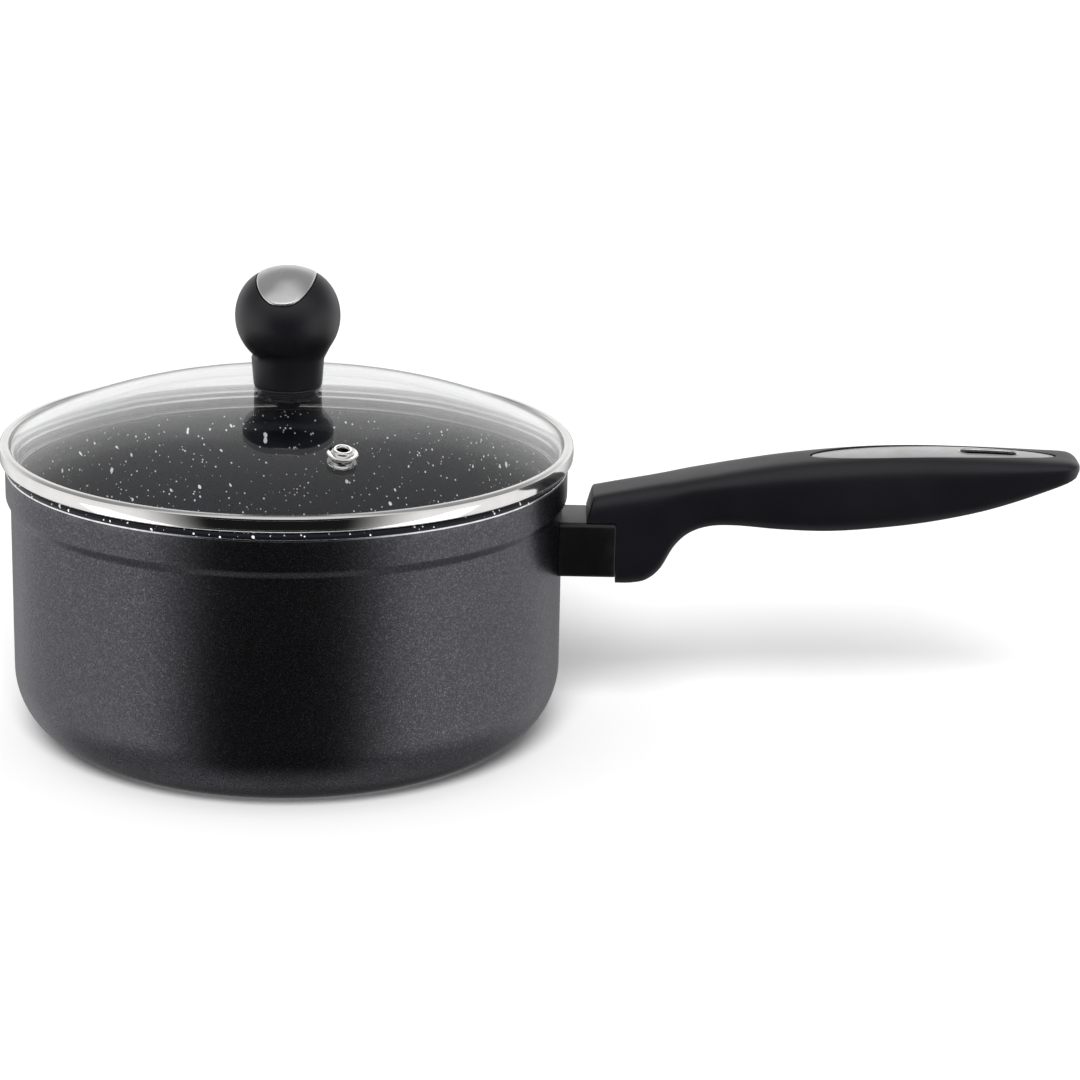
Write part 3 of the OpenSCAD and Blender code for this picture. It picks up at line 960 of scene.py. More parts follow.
@dataclass
class Pan(Assembly):
    """The pressed shell with its two coats and the disc in its base."""

    body_r: float = 91.5 * MM
    band_r: float = 93.1 * MM
    step_z: float = 79 * MM
    step_h: float = 4 * MM
    lip_z: float = 93.2 * MM
    corner_r: float = 24 * MM
    wall_t: float = 2.8 * MM
    floor_t: float = 4 * MM
    coat_t: float = 0.3 * MM
    disc_r: float = 62 * MM
    disc_t: float = 0.6 * MM
    disc_gap: float = 0.05 * MM
    groove_radii: tuple[float, ...] = (20 * MM, 34 * MM, 48 * MM)
    shell_low: float = 0.01 * MM
    bare_base_z: float = 1.0 * MM
    bare_low: float = 92.0 * MM
    bare_high: float = 92.6 * MM
    edge: float = 0.08 * MM

    def _step(self, inset: float) -> Outline:
        """The smooth step from the wall out to the band.

        Args:
            inset: How far inside the outer skin the step lies.

        Returns:
            Points from the bottom of the step to its top.
        """
        count = 16
        return [
            (
                self.body_r - inset + (self.band_r - self.body_r) * (1 - math.cos(math.pi * i / count)) / 2,
                self.step_z + self.step_h * i / count,
            )
            for i in range(count + 1)
        ]

    def outside(self, inset: float, low: float, high: float) -> Outline:
        """The outside from a height on the bottom corner up to a height on the band.

        Args:
            inset: How far inside the outer skin the line lies.
            low: The height at which it starts, on the corner.
            high: The height at which it ends, on the band.

        Returns:
            The line's points.
        """
        centre = (self.body_r - self.corner_r, self.corner_r)
        turn = math.degrees(math.acos(1 - low / self.corner_r)) - 90
        line = arc(centre, self.corner_r - inset, turn, 0, 24)
        line += straight(line[-1], (self.body_r - inset, self.step_z), 14)[:-1]
        line += self._step(inset)
        line += straight(line[-1], (self.band_r - inset, high), 4)
        return line

    def inside(self, grow: float) -> Outline:
        """The inside from the middle of the floor up to the middle of the lip.

        Args:
            grow: How far outside the inner skin the line lies.

        Returns:
            The line's points.
        """
        radius = self.corner_r - self.wall_t
        centre = (self.body_r - self.corner_r, self.floor_t + radius)
        line: Outline = [(0, self.floor_t - grow)]
        line += straight(line[0], (centre[0], self.floor_t - grow), 12)[:-1]
        line += arc(centre, radius + grow, -90, 0, 20)
        inner = self.wall_t - grow
        line += straight(line[-1], (self.body_r - inner, self.step_z), 12)[:-1]
        line += self._step(inner)
        line += straight(line[-1], (self.band_r - inner, self.lip_z), 4)
        return line

    def lip(self, inset: float, start: float, stop: float) -> Outline:
        """The half round on top of the wall.

        Args:
            inset: How far inside the lip's surface the line lies.
            start: The first angle, 180 at the inside and 0 at the outside.
            stop: The last angle.

        Returns:
            The line's points.
        """
        half = self.wall_t / 2
        return arc((self.band_r - half, self.lip_z), half - inset, start, stop, 14)

    def build(self) -> None:
        """Makes the shell, lining, enamel and disc."""
        deep = self.coat_t
        flat_r = self.body_r - self.corner_r
        seat_r = self.disc_r + self.disc_gap
        under_coat = [(self.band_r - deep, self.bare_high)] + self.lip(deep, 0, 180)
        under_coat += self.inside(deep)[::-1][1:]
        shell = [(0, self.disc_t), (seat_r, self.disc_t), (seat_r, self.edge), (seat_r + self.edge, 0)]
        shell += [(flat_r - self.edge, 0), (flat_r + self.edge, self.edge)]
        shell += self.outside(deep, self.shell_low, self.bare_low)[1:]
        shell += [(self.band_r - self.edge, self.bare_low), (self.band_r, self.bare_low + self.edge)]
        shell += [(self.band_r, self.bare_high - self.edge), (self.band_r - self.edge, self.bare_high)]
        shell += under_coat
        self.fit(lathe("pan_shell", shell, closed=False), "bare_aluminium", Body.PAN, "pan_body")

        lining = self.inside(0) + self.lip(0, 180, 0)[1:]
        lining += [(self.band_r, self.bare_high + self.edge), (self.band_r - self.edge, self.bare_high)]
        lining += under_coat
        self.fit(lathe("stone_coat", lining, closed=False), "stone_lining", Body.PAN, "pan_lining")

        enamel = self.outside(0, self.bare_base_z, self.bare_low - self.edge)
        enamel += [(self.band_r - self.edge, self.bare_low)]
        enamel += self.outside(deep, self.bare_base_z, self.bare_low)[::-1]
        self.fit(lathe("charcoal_coat", enamel, closed=True), "charcoal_enamel", Body.PAN, "outer_enamel")
        self.fit(self._disc(), "spun_steel", Body.PAN, "base_disc")

    def _disc(self) -> bpy.types.Object:
        """The magnetic disc, with shallow turned grooves and a centre dimple.

        Returns:
            The disc.
        """
        groove = 0.12 * MM
        line: Outline = [(0, 0.25 * MM), (1.2 * MM, 0.2 * MM), (1.8 * MM, 0)]
        for radius in self.groove_radii:
            line += [(radius - 3 * groove, 0), (radius - groove, groove)]
            line += [(radius + groove, groove), (radius + 3 * groove, 0)]
        line += [(self.disc_r - self.edge, 0), (self.disc_r, self.edge)]
        line += [(self.disc_r, self.disc_t), (0, self.disc_t)]
        return lathe("base_plate", line, closed=False, crease=60)


class Station(NamedTuple):
    """One place along the handle, in millimetres."""

    x: float
    top: float
    bottom: float
    half_w: float


@dataclass
class Handle(Assembly):
    """The handle: guard, grip, silver inlay, and the hidden screw and stud that hold it."""

    stations: tuple[Station, ...] = (
        Station(109.6, 86, 54.3, 11.4),
        Station(115, 87.1, 54.4, 11.5),
        Station(120, 88.1, 55.6, 11.6),
        Station(124.5, 89, 59.6, 11.8),
        Station(129, 89.9, 67.6, 12),
        Station(134, 91, 72.4, 12.1),
        Station(141, 92.4, 74.8, 12.3),
        Station(150, 94.2, 75, 12.6),
        Station(164, 96.6, 74, 13),
        Station(180, 98.6, 73.8, 13.4),
        Station(196, 99.9, 75.2, 13.5),
        Station(212, 100.4, 77.5, 13.3),
        Station(228, 100.3, 81, 12.8),
        Station(240, 100, 84.7, 12.2),
        Station(252, 99.6, 89.3, 11.4),
        Station(264, 99.2, 94.5, 10.6),
    )
    wall_r: float = 91.55 * MM
    stud_z: float = 66.5 * MM
    guard_w: float = 12 * MM
    guard_low: float = 57.3 * MM
    guard_high: float = 75.95 * MM
    chin_x: float = 109.5 * MM
    nose_x: float = 99.5 * MM
    nose_lean: float = 0.27
    nose_low: float = 76.1 * MM
    tip_x: float = 262.8 * MM
    tip_round_x: float = 240 * MM
    tip_z: float = 96.3 * MM
    squareness: float = 4.2
    boxy: float = 6.0
    boxy_length: float = 40 * MM
    tip_fullness: int = 14
    tip_cap: float = 1.2 * MM
    bore_r: float = 5.05 * MM
    bore_stop: float = 105.1 * MM
    foot_r: float = 9.05 * MM
    foot_stop: float = 93.2 * MM
    points: int = 96
    steps: int = 9
    pocket_x: float = 121 * MM
    pocket_r: float = 5.2 * MM
    screw_hole_r: float = 2.8 * MM
    inlay_x: float = 200 * MM
    inlay_back: float = 26.5 * MM
    inlay_front: float = 55 * MM
    inlay_half_w: float = 7.9 * MM
    inlay_t: float = 1.2 * MM
    inlay_top: float = 100.4 * MM
    inlay_arc: float = 440 * MM
    inlay_camber: float = 7.0
    crown_x: float = 222.5 * MM
    slot_x: float = 232.5 * MM
    slot_half: float = 10 * MM
    slot_r: float = 3.5 * MM
    slot_rim: float = 0.6 * MM
    slot_gap: float = 0.12 * MM

    def _station(self, index: int, t: float) -> Station:
        """A place between two stations, on a smooth curve through all of them.

        Args:
            index: The station before it.
            t: How far it is to the next one, from 0 to 1.

        Returns:
            The place, in metres.
        """
        last = len(self.stations) - 1
        a, b, c, d = (self.stations[max(0, min(last, index + k))] for k in (-1, 0, 1, 2))
        return Station(*(
            MM * 0.5 * (
                2 * q + (r - p) * t + (2 * p - 5 * q + 4 * r - s) * t * t
                + (3 * q - p - 3 * r + s) * t ** 3
            )
            for p, q, r, s in zip(a, b, c, d)
        ))

    def _closing(self, x: float) -> float:
        """How much of the full section is left at x: 1 along the grip, 0 at the tip."""
        t = max(0.0, (x - self.tip_round_x) / (self.tip_x - self.tip_round_x))
        return math.sqrt(max(0.0, 1 - t ** self.tip_fullness))

    def _section(self, place: Station, square: float, shrink: float = 1.0) -> Ring:
        """One rounded section of the grip.

        Args:
            place: Where it is and how large.
            square: 2 for an ellipse, more for a squarer section.
            shrink: How much of its size is left, towards the tip's height.

        Returns:
            The section's points.
        """
        middle = (place.top + place.bottom) / 2
        half = (place.top - place.bottom) / 2
        ring = []
        for k in range(self.points):
            a = TURN * (k + 0.5) / self.points
            z = middle + half * math.copysign(abs(math.sin(a)) ** (2 / square), math.sin(a))
            y = place.half_w * math.copysign(abs(math.cos(a)) ** (2 / square), math.cos(a))
            ring.append(Vector((place.x, y * shrink, self.tip_z + (z - self.tip_z) * shrink)))
        return ring

    def _nose(self, x: float, inset: float, lean: float) -> Ring:
        """A section of the nose that reaches over the guard.

        Args:
            x: Where the section's bottom is.
            inset: How much smaller it is on every side.
            lean: How far its top leans towards +X, per metre of height.

        Returns:
            The section's points.
        """
        chin, next_one = self.stations[0], self.stations[2]
        slope = (next_one.top - chin.top) / (next_one.x - chin.x)
        drop = slope * (self.chin_x - x - lean * 8 * MM)
        place = Station(x, chin.top * MM - drop - inset, chin.bottom * MM - drop, chin.half_w * MM - inset)
        ring = []
        for point in self._section(place, self.boxy):
            z = max(point.z, self.nose_low + inset)
            ring.append(Vector((x + lean * (z - self.nose_low), point.y, z)))
        return ring

    def _grip_rings(self) -> list[Ring]:
        """All sections of the grip, from the nose to the tip.

        Returns:
            The sections, all with the same number of points.
        """
        rings = [
            self._nose(self.nose_x, 0.5 * MM, self.nose_lean),
            self._nose(self.nose_x + 0.08 * MM, 0.22 * MM, self.nose_lean),
            self._nose(self.nose_x + 0.25 * MM, 0.06 * MM, self.nose_lean),
            self._nose(self.nose_x + 0.5 * MM, 0, self.nose_lean),
            self._nose(102.5 * MM, 0, self.nose_lean * 0.6),
            self._nose(106 * MM, 0, self.nose_lean * 0.25),
            self._nose(self.chin_x - 0.05 * MM, 0, 0),
        ]
        for index in range(len(self.stations) - 1):
            for step in range(self.steps):
                place = self._station(index, step / self.steps)
                boxiness = max(0.0, 1 - (place.x - self.chin_x) / self.boxy_length)
                square = self.squareness + (self.boxy - self.squareness) * boxiness
                if place.x < self.tip_x - self.tip_cap:
                    rings.append(self._section(place, square, self._closing(place.x)))
        end = Station(*(value * MM for value in self.stations[-1]))
        for back in (1.0, 0.65, 0.38, 0.18, 0.06, 0.01):
            x = self.tip_x - back * MM
            rings.append(self._section(end._replace(x=x), self.squareness, self._closing(x)))
        return rings

    def _drop(self, inset: float, count: int) -> list[Vector]:
        """The inlay's outline from above: two half ellipses of different lengths.

        Args:
            inset: How far inside the outline the points lie.
            count: The number of points.

        Returns:
            The points, at height 0.
        """
        outline = []
        for k in range(count):
            a = TURN * k / count
            reach = (self.inlay_front if math.cos(a) > 0 else self.inlay_back) - inset
            across = (self.inlay_half_w - inset) * math.sin(a)
            outline.append(Vector((self.inlay_x + reach * math.cos(a), across, 0)))
        return outline

    def _crown(self, x: float, y: float) -> float:
        """The height of the inlay's top, which follows the top of the grip."""
        along = math.sqrt(self.inlay_arc ** 2 - (x - self.crown_x) ** 2) - self.inlay_arc
        return self.inlay_top + along - self.inlay_camber * y * y

    def _on_crown(self, outline: Iterable[Vector], below: float) -> Ring:
        """Puts points on the inlay's top, or below it."""
        return [Vector((p.x, p.y, self._crown(p.x, p.y) - below)) for p in outline]

    def _slot_outline(self, directions: Sequence[Vector], grow: float) -> list[Vector]:
        """The hanging slot's outline, as seen from its middle in given directions.

        Args:
            directions: Unit vectors in the plane.
            grow: How far outside the slot the points lie.

        Returns:
            The points, at height 0.
        """
        radius = self.slot_r - self.slot_rim + grow
        half = self.slot_half - self.slot_r
        outline = []
        for way in directions:
            near, far = 0.0, 4 * self.slot_half
            for _ in range(40):
                reach = (near + far) / 2
                x, y = abs(way.x) * reach, abs(way.y) * reach
                inside = math.hypot(max(x - half, 0), y) < radius
                near, far = (reach, far) if inside else (near, reach)
            outline.append(Vector((self.slot_x + way.x * near, way.y * near, 0)))
        return outline

    def _inlay(self) -> bpy.types.Object:
        """The silver plate: bright bevelled edge, raised rim round the slot, and a collar down into it.

        Returns:
            The plate.
        """
        count = 200
        outer = self._drop(0, count)
        middle = Vector((self.slot_x, 0, 0))
        ways = [(p - middle).normalized() for p in outer]

        def at_slot(grow: float, below: float) -> Ring:
            """A loop round the slot."""
            return self._on_crown(self._slot_outline(ways, grow * MM), below * MM)

        def at_edge(inset: float, below: float) -> Ring:
            """A loop inside the plate's edge."""
            return self._on_crown(self._drop(inset * MM, count), below * MM)

        rings = [at_slot(0.25, 0.9), at_slot(0, 0.55), at_slot(0, 0.2), at_slot(0.08, -0.02)]
        rings += [at_slot(0.25, -0.16), at_slot(0.5, -0.18), at_slot(0.75, -0.06), at_slot(0.9, 0.0)]
        start, stop = self._slot_outline(ways, 1.0 * MM), self._drop(0.85 * MM, count)
        for step in range(15):
            rings.append(self._on_crown([a.lerp(b, step / 14) for a, b in zip(start, stop)], 0))
        rings += [at_edge(0.6, 0.06), at_edge(0.3, 0.24), at_edge(0.1, 0.46), at_edge(0, 0.62)]
        rings += [at_edge(0, 1.2), at_slot(0.9, 1.2)]
        return loft("silver_inlay", rings, closed=True, crease=50)

    def _recess(self) -> bpy.types.Object:
        """The cutter for the pocket that the inlay lies in.

        Returns:
            The cutter.
        """
        outline = self._drop(-0.12 * MM, 120)
        middle = Vector((self.inlay_x, 0, 0))
        rings = [
            self._on_crown([middle.lerp(p, share) for p in outline], self.inlay_t + 0.05 * MM)
            for share in (0.02, 0.25, 0.5, 0.75, 1.0)
        ]
        rings.append([Vector((p.x, p.y, 110 * MM)) for p in outline])
        return loft("recess_cutter", rings)

    def _slot_cutter(self) -> bpy.types.Object:
        """The cutter for the hanging slot.

        Returns:
            The cutter.
        """
        ways = [Vector((math.cos(TURN * k / 64), math.sin(TURN * k / 64), 0)) for k in range(64)]
        outline = self._slot_outline(ways, self.slot_gap)
        return loft("slot_cutter", [[Vector((p.x, p.y, z)) for p in outline] for z in (60 * MM, 120 * MM)])

    def _grip(self) -> bpy.types.Object:
        """The moulded grip with its pocket, slot and screw hole.

        Returns:
            The grip.
        """
        grip = loft("soft_grip", self._grip_rings(), crease=40)
        screw_from = Vector((90 * MM, 0, self.stud_z))
        pocket_from = Vector((self.pocket_x, 0, self.stud_z))
        screw_hole = rod("screw_cutter", screw_from, pocket_from + Vector((1 * MM, 0, 0)), self.screw_hole_r)
        pocket = rod("pocket_cutter", pocket_from, pocket_from + Vector((25 * MM, 0, 0)), self.pocket_r)
        cut(grip, self._recess(), self._slot_cutter(), screw_hole, pocket, crease=40)
        return grip

    def _along(self, name: str, start: float, stop: float, radius: float) -> bpy.types.Object:
        """A round cutter along the handle, at the height of the stud."""
        return rod(name, Vector((start, 0, self.stud_z)), Vector((stop, 0, self.stud_z)), radius)

    def _guard(self) -> bpy.types.Object:
        """The black spacer block, curved at one end to sit on the wall.

        Returns:
            The block.
        """
        radius = 1.6 * MM
        half_w, low, high = self.guard_w, self.guard_low, self.guard_high
        corners = [
            (half_w - radius, high - radius, 0), (-half_w + radius, high - radius, 90),
            (-half_w + radius, low + radius, 180), (half_w - radius, low + radius, 270),
        ]

        def ring(x: float | None, inset: float) -> Ring:
            """A section at x, or one that follows the wall where x is None.

            Args:
                x: Where the section lies, or None for one on the wall.
                inset: How much smaller it is on every side.

            Returns:
                The section's points.
            """
            quarters = [arc((y, z), radius - inset, turn, turn + 90, 8) for y, z, turn in corners]
            return [
                Vector((math.sqrt(self.wall_r ** 2 - y * y) if x is None else x, y, z))
                for quarter in quarters
                for y, z in quarter
            ]

        end = self.chin_x - 0.05 * MM
        on_wall = ring(None, 0)
        flat = [Vector((end - 0.5 * MM, p.y, p.z)) for p in on_wall]
        rings = [[a.lerp(b, share) for a, b in zip(on_wall, flat)] for share in (0.0, 0.1, 0.4, 0.7, 1.0)]
        rings += [ring(end - 0.15 * MM, 0.15 * MM), ring(end, 0.5 * MM)]
        guard = loft("guard_block", rings, crease=45)
        bore = self._along("bore_cutter", 80 * MM, self.bore_stop, self.bore_r)
        foot = self._along("foot_cutter", 80 * MM, self.foot_stop, self.foot_r)
        hole = self._along("hole_cutter", 104 * MM, 115 * MM, self.screw_hole_r)
        cut(guard, foot, bore, hole, crease=45)
        return guard

    def build(self) -> None:
        """Makes the guard, grip and inlay, and dresses the hidden fasteners."""
        self.fit(self._guard(), "guard_black", Body.PAN, "flame_guard")
        self.fit(self._grip(), "soft_black", Body.PAN, "handle_grip")
        self.fit(self._inlay(), "satin_silver", Body.PAN, "handle_inlay")
        self.keep("weld_stud", "bare_aluminium")
        self.keep("handle_screw", "zinc_steel")
        self.keep("handle_washer", "zinc_steel")


@dataclass
class GlassLid(Assembly):
    """The glass dome with its steel rim and steam vent."""

    dome_top: float = 118 * MM
    glass_t: float = 4 * MM
    middle_arc: float = 290 * MM
    rim_arc: float = 151.5 * MM
    join_r: float = 50 * MM
    glass_r: float = 94 * MM
    hole_r: float = 4.5 * MM
    rim_r: float = 95.1 * MM
    rim_low: float = 94.95 * MM
    rim_high: float = 100.4 * MM
    rim_lip_r: float = 91.8 * MM
    rim_t: float = 0.45 * MM
    skirt_r: float = 89.2 * MM
    skirt_low: float = 87.4 * MM
    vent_r: float = 63.5 * MM
    vent_turn: float = -70
    vent_hole_r: float = 1.7 * MM
    vent_drill_r: float = 3.6 * MM
    vent_flange_r: float = 5 * MM
    join_angle: float = field(init=False)
    rim_centre: Point = field(init=False)

    def __post_init__(self) -> None:
        """Works out where the dome's two arcs meet."""
        self.join_angle = math.asin(self.join_r / self.middle_arc)
        self.rim_centre = (
            self.join_r - self.rim_arc * math.sin(self.join_angle),
            self.dome_top - self.middle_arc + (self.middle_arc - self.rim_arc) * math.cos(self.join_angle),
        )

    def dome(self, depth: float, start_r: float) -> Outline:
        """A line through the glass from near the axis to its edge.

        Args:
            depth: How far below the outer surface the line lies.
            start_r: The outer surface's radius at which it starts.

        Returns:
            The line's points.
        """
        first = 90 - math.degrees(math.asin(start_r / self.middle_arc))
        meet = 90 - math.degrees(self.join_angle)
        last = 90 - math.degrees(math.asin((self.glass_r - self.rim_centre[0]) / self.rim_arc))
        line = arc((0, self.dome_top - self.middle_arc), self.middle_arc - depth, first, meet, 20)
        return line + arc(self.rim_centre, self.rim_arc - depth, meet, last, 26)[1:]

    def at_vent(self) -> Matrix:
        """The vent's place on the glass, with +Z square to it.

        Returns:
            The place, as a matrix.
        """
        slope = math.asin((self.vent_r - self.rim_centre[0]) / self.rim_arc)
        height = self.rim_centre[1] + self.rim_arc * math.cos(slope)
        return (
            Matrix.Rotation(math.radians(self.vent_turn), 4, "Z")
            @ Matrix.Translation((self.vent_r, 0, height))
            @ Matrix.Rotation(slope, 4, "Y")
        )

    def _glass(self) -> bpy.types.Object:
        """The dome, drilled for the knob and for the vent.

        Returns:
            The glass.
        """
        round_off = 0.3 * MM
        upper = self.dome(0, self.hole_r + round_off)
        lower = self.dome(self.glass_t, self.hole_r + round_off)
        bore = [(self.hole_r, lower[0][1] + round_off), (self.hole_r, upper[0][1] - round_off)]
        glass = lathe("clear_dome", bore + upper + lower[::-1], closed=True, segments=192, crease=40)
        place = self.at_vent()
        start, stop = (place @ Vector((0, 0, height)) for height in (-9 * MM, 9 * MM))
        hole = rod("vent_cutter", start, stop, self.vent_drill_r, 40)
        cut(glass, hole, crease=40)
        return glass

    def _rim(self) -> bpy.types.Object:
        """The rolled steel rim: lip on the glass, outer band, ledge and skirt with a rolled hem.

        Returns:
            The rim.
        """
        half = self.rim_t / 2
        band = self.rim_r - half
        skirt = self.skirt_r - half
        top, ledge = self.rim_high - half, self.rim_low + half
        bulge, bead = 0.42 * MM, 0.35 * MM
        corners = [
            (self.rim_lip_r + 0.15 * MM, top - 0.35 * MM, 0),
            (self.rim_lip_r + 0.55 * MM, top, 0.5 * MM),
            (band - bulge, top, 1.2 * MM),
            (band, (top + ledge) / 2, 12 * MM),
            (band - bulge, ledge, 1.2 * MM),
            (skirt, ledge, 0.7 * MM),
            (skirt, 93.1 * MM, 0.5 * MM),
            (skirt - bead, 92.5 * MM, 0.5 * MM),
            (skirt - bead, 89.8 * MM, 0.6 * MM),
            (skirt, 89.0 * MM, 0.6 * MM),
            (skirt, self.skirt_low + 0.3 * MM, 0.35 * MM),
            (skirt - 1.0 * MM, self.skirt_low + 0.3 * MM, 0.4 * MM),
            (skirt - 1.0 * MM, self.skirt_low + 1.5 * MM, 0),
        ]
        section = sheet_section(filleted(corners, 7), self.rim_t)
        return lathe("steel_rim", section, closed=True, segments=192, crease=60)

    def _eyelet(self) -> bpy.types.Object:
        """The vent's eyelet: flared under the glass, flange and rolled collar above it.

        Returns:
            The eyelet.
        """
        bore, tube = self.vent_hole_r, 3.35 * MM
        collar_r, collar_top = 2.55 * MM, 1.75 * MM
        flange, glass = self.vent_flange_r, self.glass_t
        line = [(bore, -glass - 0.85 * MM), (4.5 * MM, -glass - 0.85 * MM), (4.7 * MM, -glass - 0.6 * MM)]
        line += [(4.6 * MM, -glass - 0.15 * MM), (tube, -glass - 0.1 * MM), (tube, 0.45 * MM)]
        line += arc((flange - 0.45 * MM, 0.87 * MM), 0.42 * MM, -90, 80, 10)
        line += [(collar_r + 1.25 * MM, 1.32 * MM), (collar_r + 1.05 * MM, 1.5 * MM)]
        line += arc((collar_r, collar_top), 0.85 * MM, -5, 185, 18)
        place = self.at_vent()
        eyelet = lathe("vent_ring", line, closed=True, segments=72, crease=50)
        eyelet.data.transform(place)
        return eyelet

    def build(self) -> None:
        """Makes the glass, rim and eyelet, and dresses the seals."""
        self.fit(self._glass(), "tempered_glass", Body.LID, "glass_dome")
        self.fit(self._rim(), "mirror_steel", Body.LID, "lid_rim")
        self.fit(self._eyelet(), "mirror_steel", Body.LID, "vent_eyelet")
        self.keep("rim_sealant", "clear_silicone")
        self.keep("vent_seal", "clear_silicone")


@dataclass
class Knob(Assembly):
    """The leaning ball knob with its silver cap and hidden hardware."""

    ball_r: float = 17.3 * MM
    ball_z: float = 141.8 * MM
    crown_r: float = 22 * MM
    top: float = 158 * MM
    foot: float = 118.5 * MM
    neck_r0: float = 11.3 * MM
    neck_r1: float = 12.0 * MM
    neck_top: float = -14.2 * MM
    crown_angle: float = 78
    lean: float = 7
    turn: float = -98
    seam_lean: float = -6.5
    seam_angle: float = 48.5
    cap_twist: float = 5
    cap_square: float = 2.3
    cap_half_len: float = 15.1 * MM
    cap_half_w: float = 9.8 * MM
    insert_r: float = 5.05 * MM
    insert_top: float = 130.55 * MM

    def _leaning(self, share: float = 1.0, neck: float = 0.0) -> Matrix:
        """The ball's own axes.

        Args:
            share: 1 for axes that lean towards the cap, 0 for axes square to the seam over the neck.
            neck: 1 for axes that stay upright, as the neck's do.

        Returns:
            The axes, placed at the ball's centre.
        """
        turn = Matrix.Rotation(math.radians(self.turn), 4, "Z")
        cap = turn @ Matrix.Rotation(math.radians(self.lean), 4, "Y") @ turn.inverted()
        seam = Matrix.Rotation(math.radians(self.seam_lean * (1 - neck)), 4, "Y")
        return Matrix.Translation((0, 0, self.ball_z)) @ seam.lerp(cap, share) @ turn

    def _height(self, reach: float) -> float:
        """The height of the ball's upper half over its centre, at a distance from its leaning axis.

        Args:
            reach: The distance from the leaning axis.

        Returns:
            The height over the ball's centre.
        """
        blend = 1.6 / MM
        ball = math.sqrt(max(0.0, self.ball_r ** 2 - reach ** 2))
        crown = self.top - self.ball_z - self.crown_r + math.sqrt(self.crown_r ** 2 - reach ** 2)
        low = min(ball, crown)
        return low - math.log(math.exp(-blend * (ball - low)) + math.exp(-blend * (crown - low))) / blend

    def _on_ball(self, x: float, y: float, lift: float) -> Vector:
        """A point on the crown, lifted off it along its normal, in the ball's own frame."""
        foot = Vector((x, y, self._height(math.hypot(x, y))))
        return foot + foot.normalized() * lift

    def _body(self) -> bpy.types.Object:
        """Ball, neck and the hole of the threaded insert.

        Returns:
            The knob without its cap.
        """
        low = self.foot - self.ball_z
        seam = 180 - self.seam_angle
        neck = filleted([
            (self.insert_r + 2 * MM, low, 0), (self.neck_r0, low, 0.6 * MM), (self.neck_r1, self.neck_top, 0),
        ], 8)
        rows = [(self._leaning(0.0, neck=1.0), r, z) for r, z in neck]
        low_steps, lean_steps, high_steps, sides = 26, 14, 40, 128
        for step in range(low_steps + 1):
            angle = math.radians(seam - (seam - self.crown_angle) * step / low_steps)
            place = self._leaning(min(1.0, step / lean_steps))
            rows.append((place, self.ball_r * math.sin(angle), self.ball_r * math.cos(angle)))
        for step in range(1, high_steps + 1):
            angle = math.radians(self.crown_angle - self.crown_angle * step / high_steps)
            reach = self.ball_r * math.sin(angle)
            rows.append((self._leaning(), reach, self._height(reach)))
        turns = [TURN * k / sides for k in range(sides)]
        rings = [
            [place @ Vector((radius * math.cos(a), radius * math.sin(a), height)) for a in turns]
            for place, radius, height in rows
        ]
        body = loft("ball_knob", rings, crease=50)
        hole = rod("insert_cutter", Vector((0, 0, 110 * MM)), Vector((0, 0, self.insert_top)), self.insert_r)
        cut(body, self._cap_cutter(), hole, crease=50)
        return body

    def _cap_ring(self, inset: float, lift: float, share: float = 1.0, count: int = 144) -> Ring:
        """A loop of the cap on the ball.

        Args:
            inset: How far inside the cap's outline it lies.
            lift: How far it is lifted off the ball.
            share: 1 at the outline, 0 in the middle.
            count: The number of points.

        Returns:
            The loop's points.
        """
        long, wide = (self.cap_half_len - inset) * share, (self.cap_half_w - inset) * share
        place = self._leaning() @ Matrix.Rotation(math.radians(self.cap_twist), 4, "Z")
        ring = []
        for k in range(count):
            c, s = math.cos(TURN * k / count), math.sin(TURN * k / count)
            x = long * math.copysign(abs(c) ** (2 / self.cap_square), c)
            y = wide * math.copysign(abs(s) ** (2 / self.cap_square), s)
            ring.append(place @ self._on_ball(x, y, lift))
        return ring

    def _cap_cutter(self) -> bpy.types.Object:
        """The cutter for the cap's recess.

        Returns:
            The cutter.
        """
        gap, depth, above = 0.18 * MM, 0.95 * MM, 3 * MM
        shares = (0.03, 0.25, 0.5, 0.75, 1.0)
        rings = [self._cap_ring(-gap, -depth, share) for share in shares]
        rings += [self._cap_ring(-gap, above, share) for share in reversed(shares)]
        return loft("cap_cutter", rings)

    def _cap(self) -> bpy.types.Object:
        """The silver cap with its bright bevelled edge.

        Returns:
            The cap.
        """
        shares = (0, 0.12, 0.25, 0.4, 0.55, 0.7, 0.85, 0.94, 1.0)
        bevel = ((0.45, 0.07), (0.2, -0.08), (0.05, -0.28), (0, -0.45), (0, -0.85))
        rings = [self._cap_ring(0.7 * MM, 0.12 * MM, share) for share in shares]
        rings += [self._cap_ring(inset * MM, lift * MM) for inset, lift in bevel]
        rings += [self._cap_ring(0, -0.85 * MM, share) for share in (0.7, 0.35, 0)]
        return loft("silver_cap", rings, crease=55)

    def build(self) -> None:
        """Makes the knob and its cap, and dresses the hardware inside."""
        self.fit(self._body(), "soft_black", Body.LID, "knob_body")
        self.fit(self._cap(), "satin_silver", Body.LID, "knob_cap")
        self.keep("knob_insert", "insert_brass")
        self.keep("knob_screw", "zinc_steel")
        self.keep("knob_washer", "zinc_steel")
        self.keep("knob_lower_seal", "seal_rubber")
        self.keep("knob_upper_seal", "seal_rubber")


# ------------------------------------------------------------------------------------------------ studio


@dataclass(frozen=True)
class Card:
    """A soft white card by the object, which only the pieces named in mirrored_by reflect."""

    name: str
    place: tuple[float, float, float]
    tilt: float
    size: tuple[float, float]
    glow: float
    mirrored_by: tuple[str, ...]


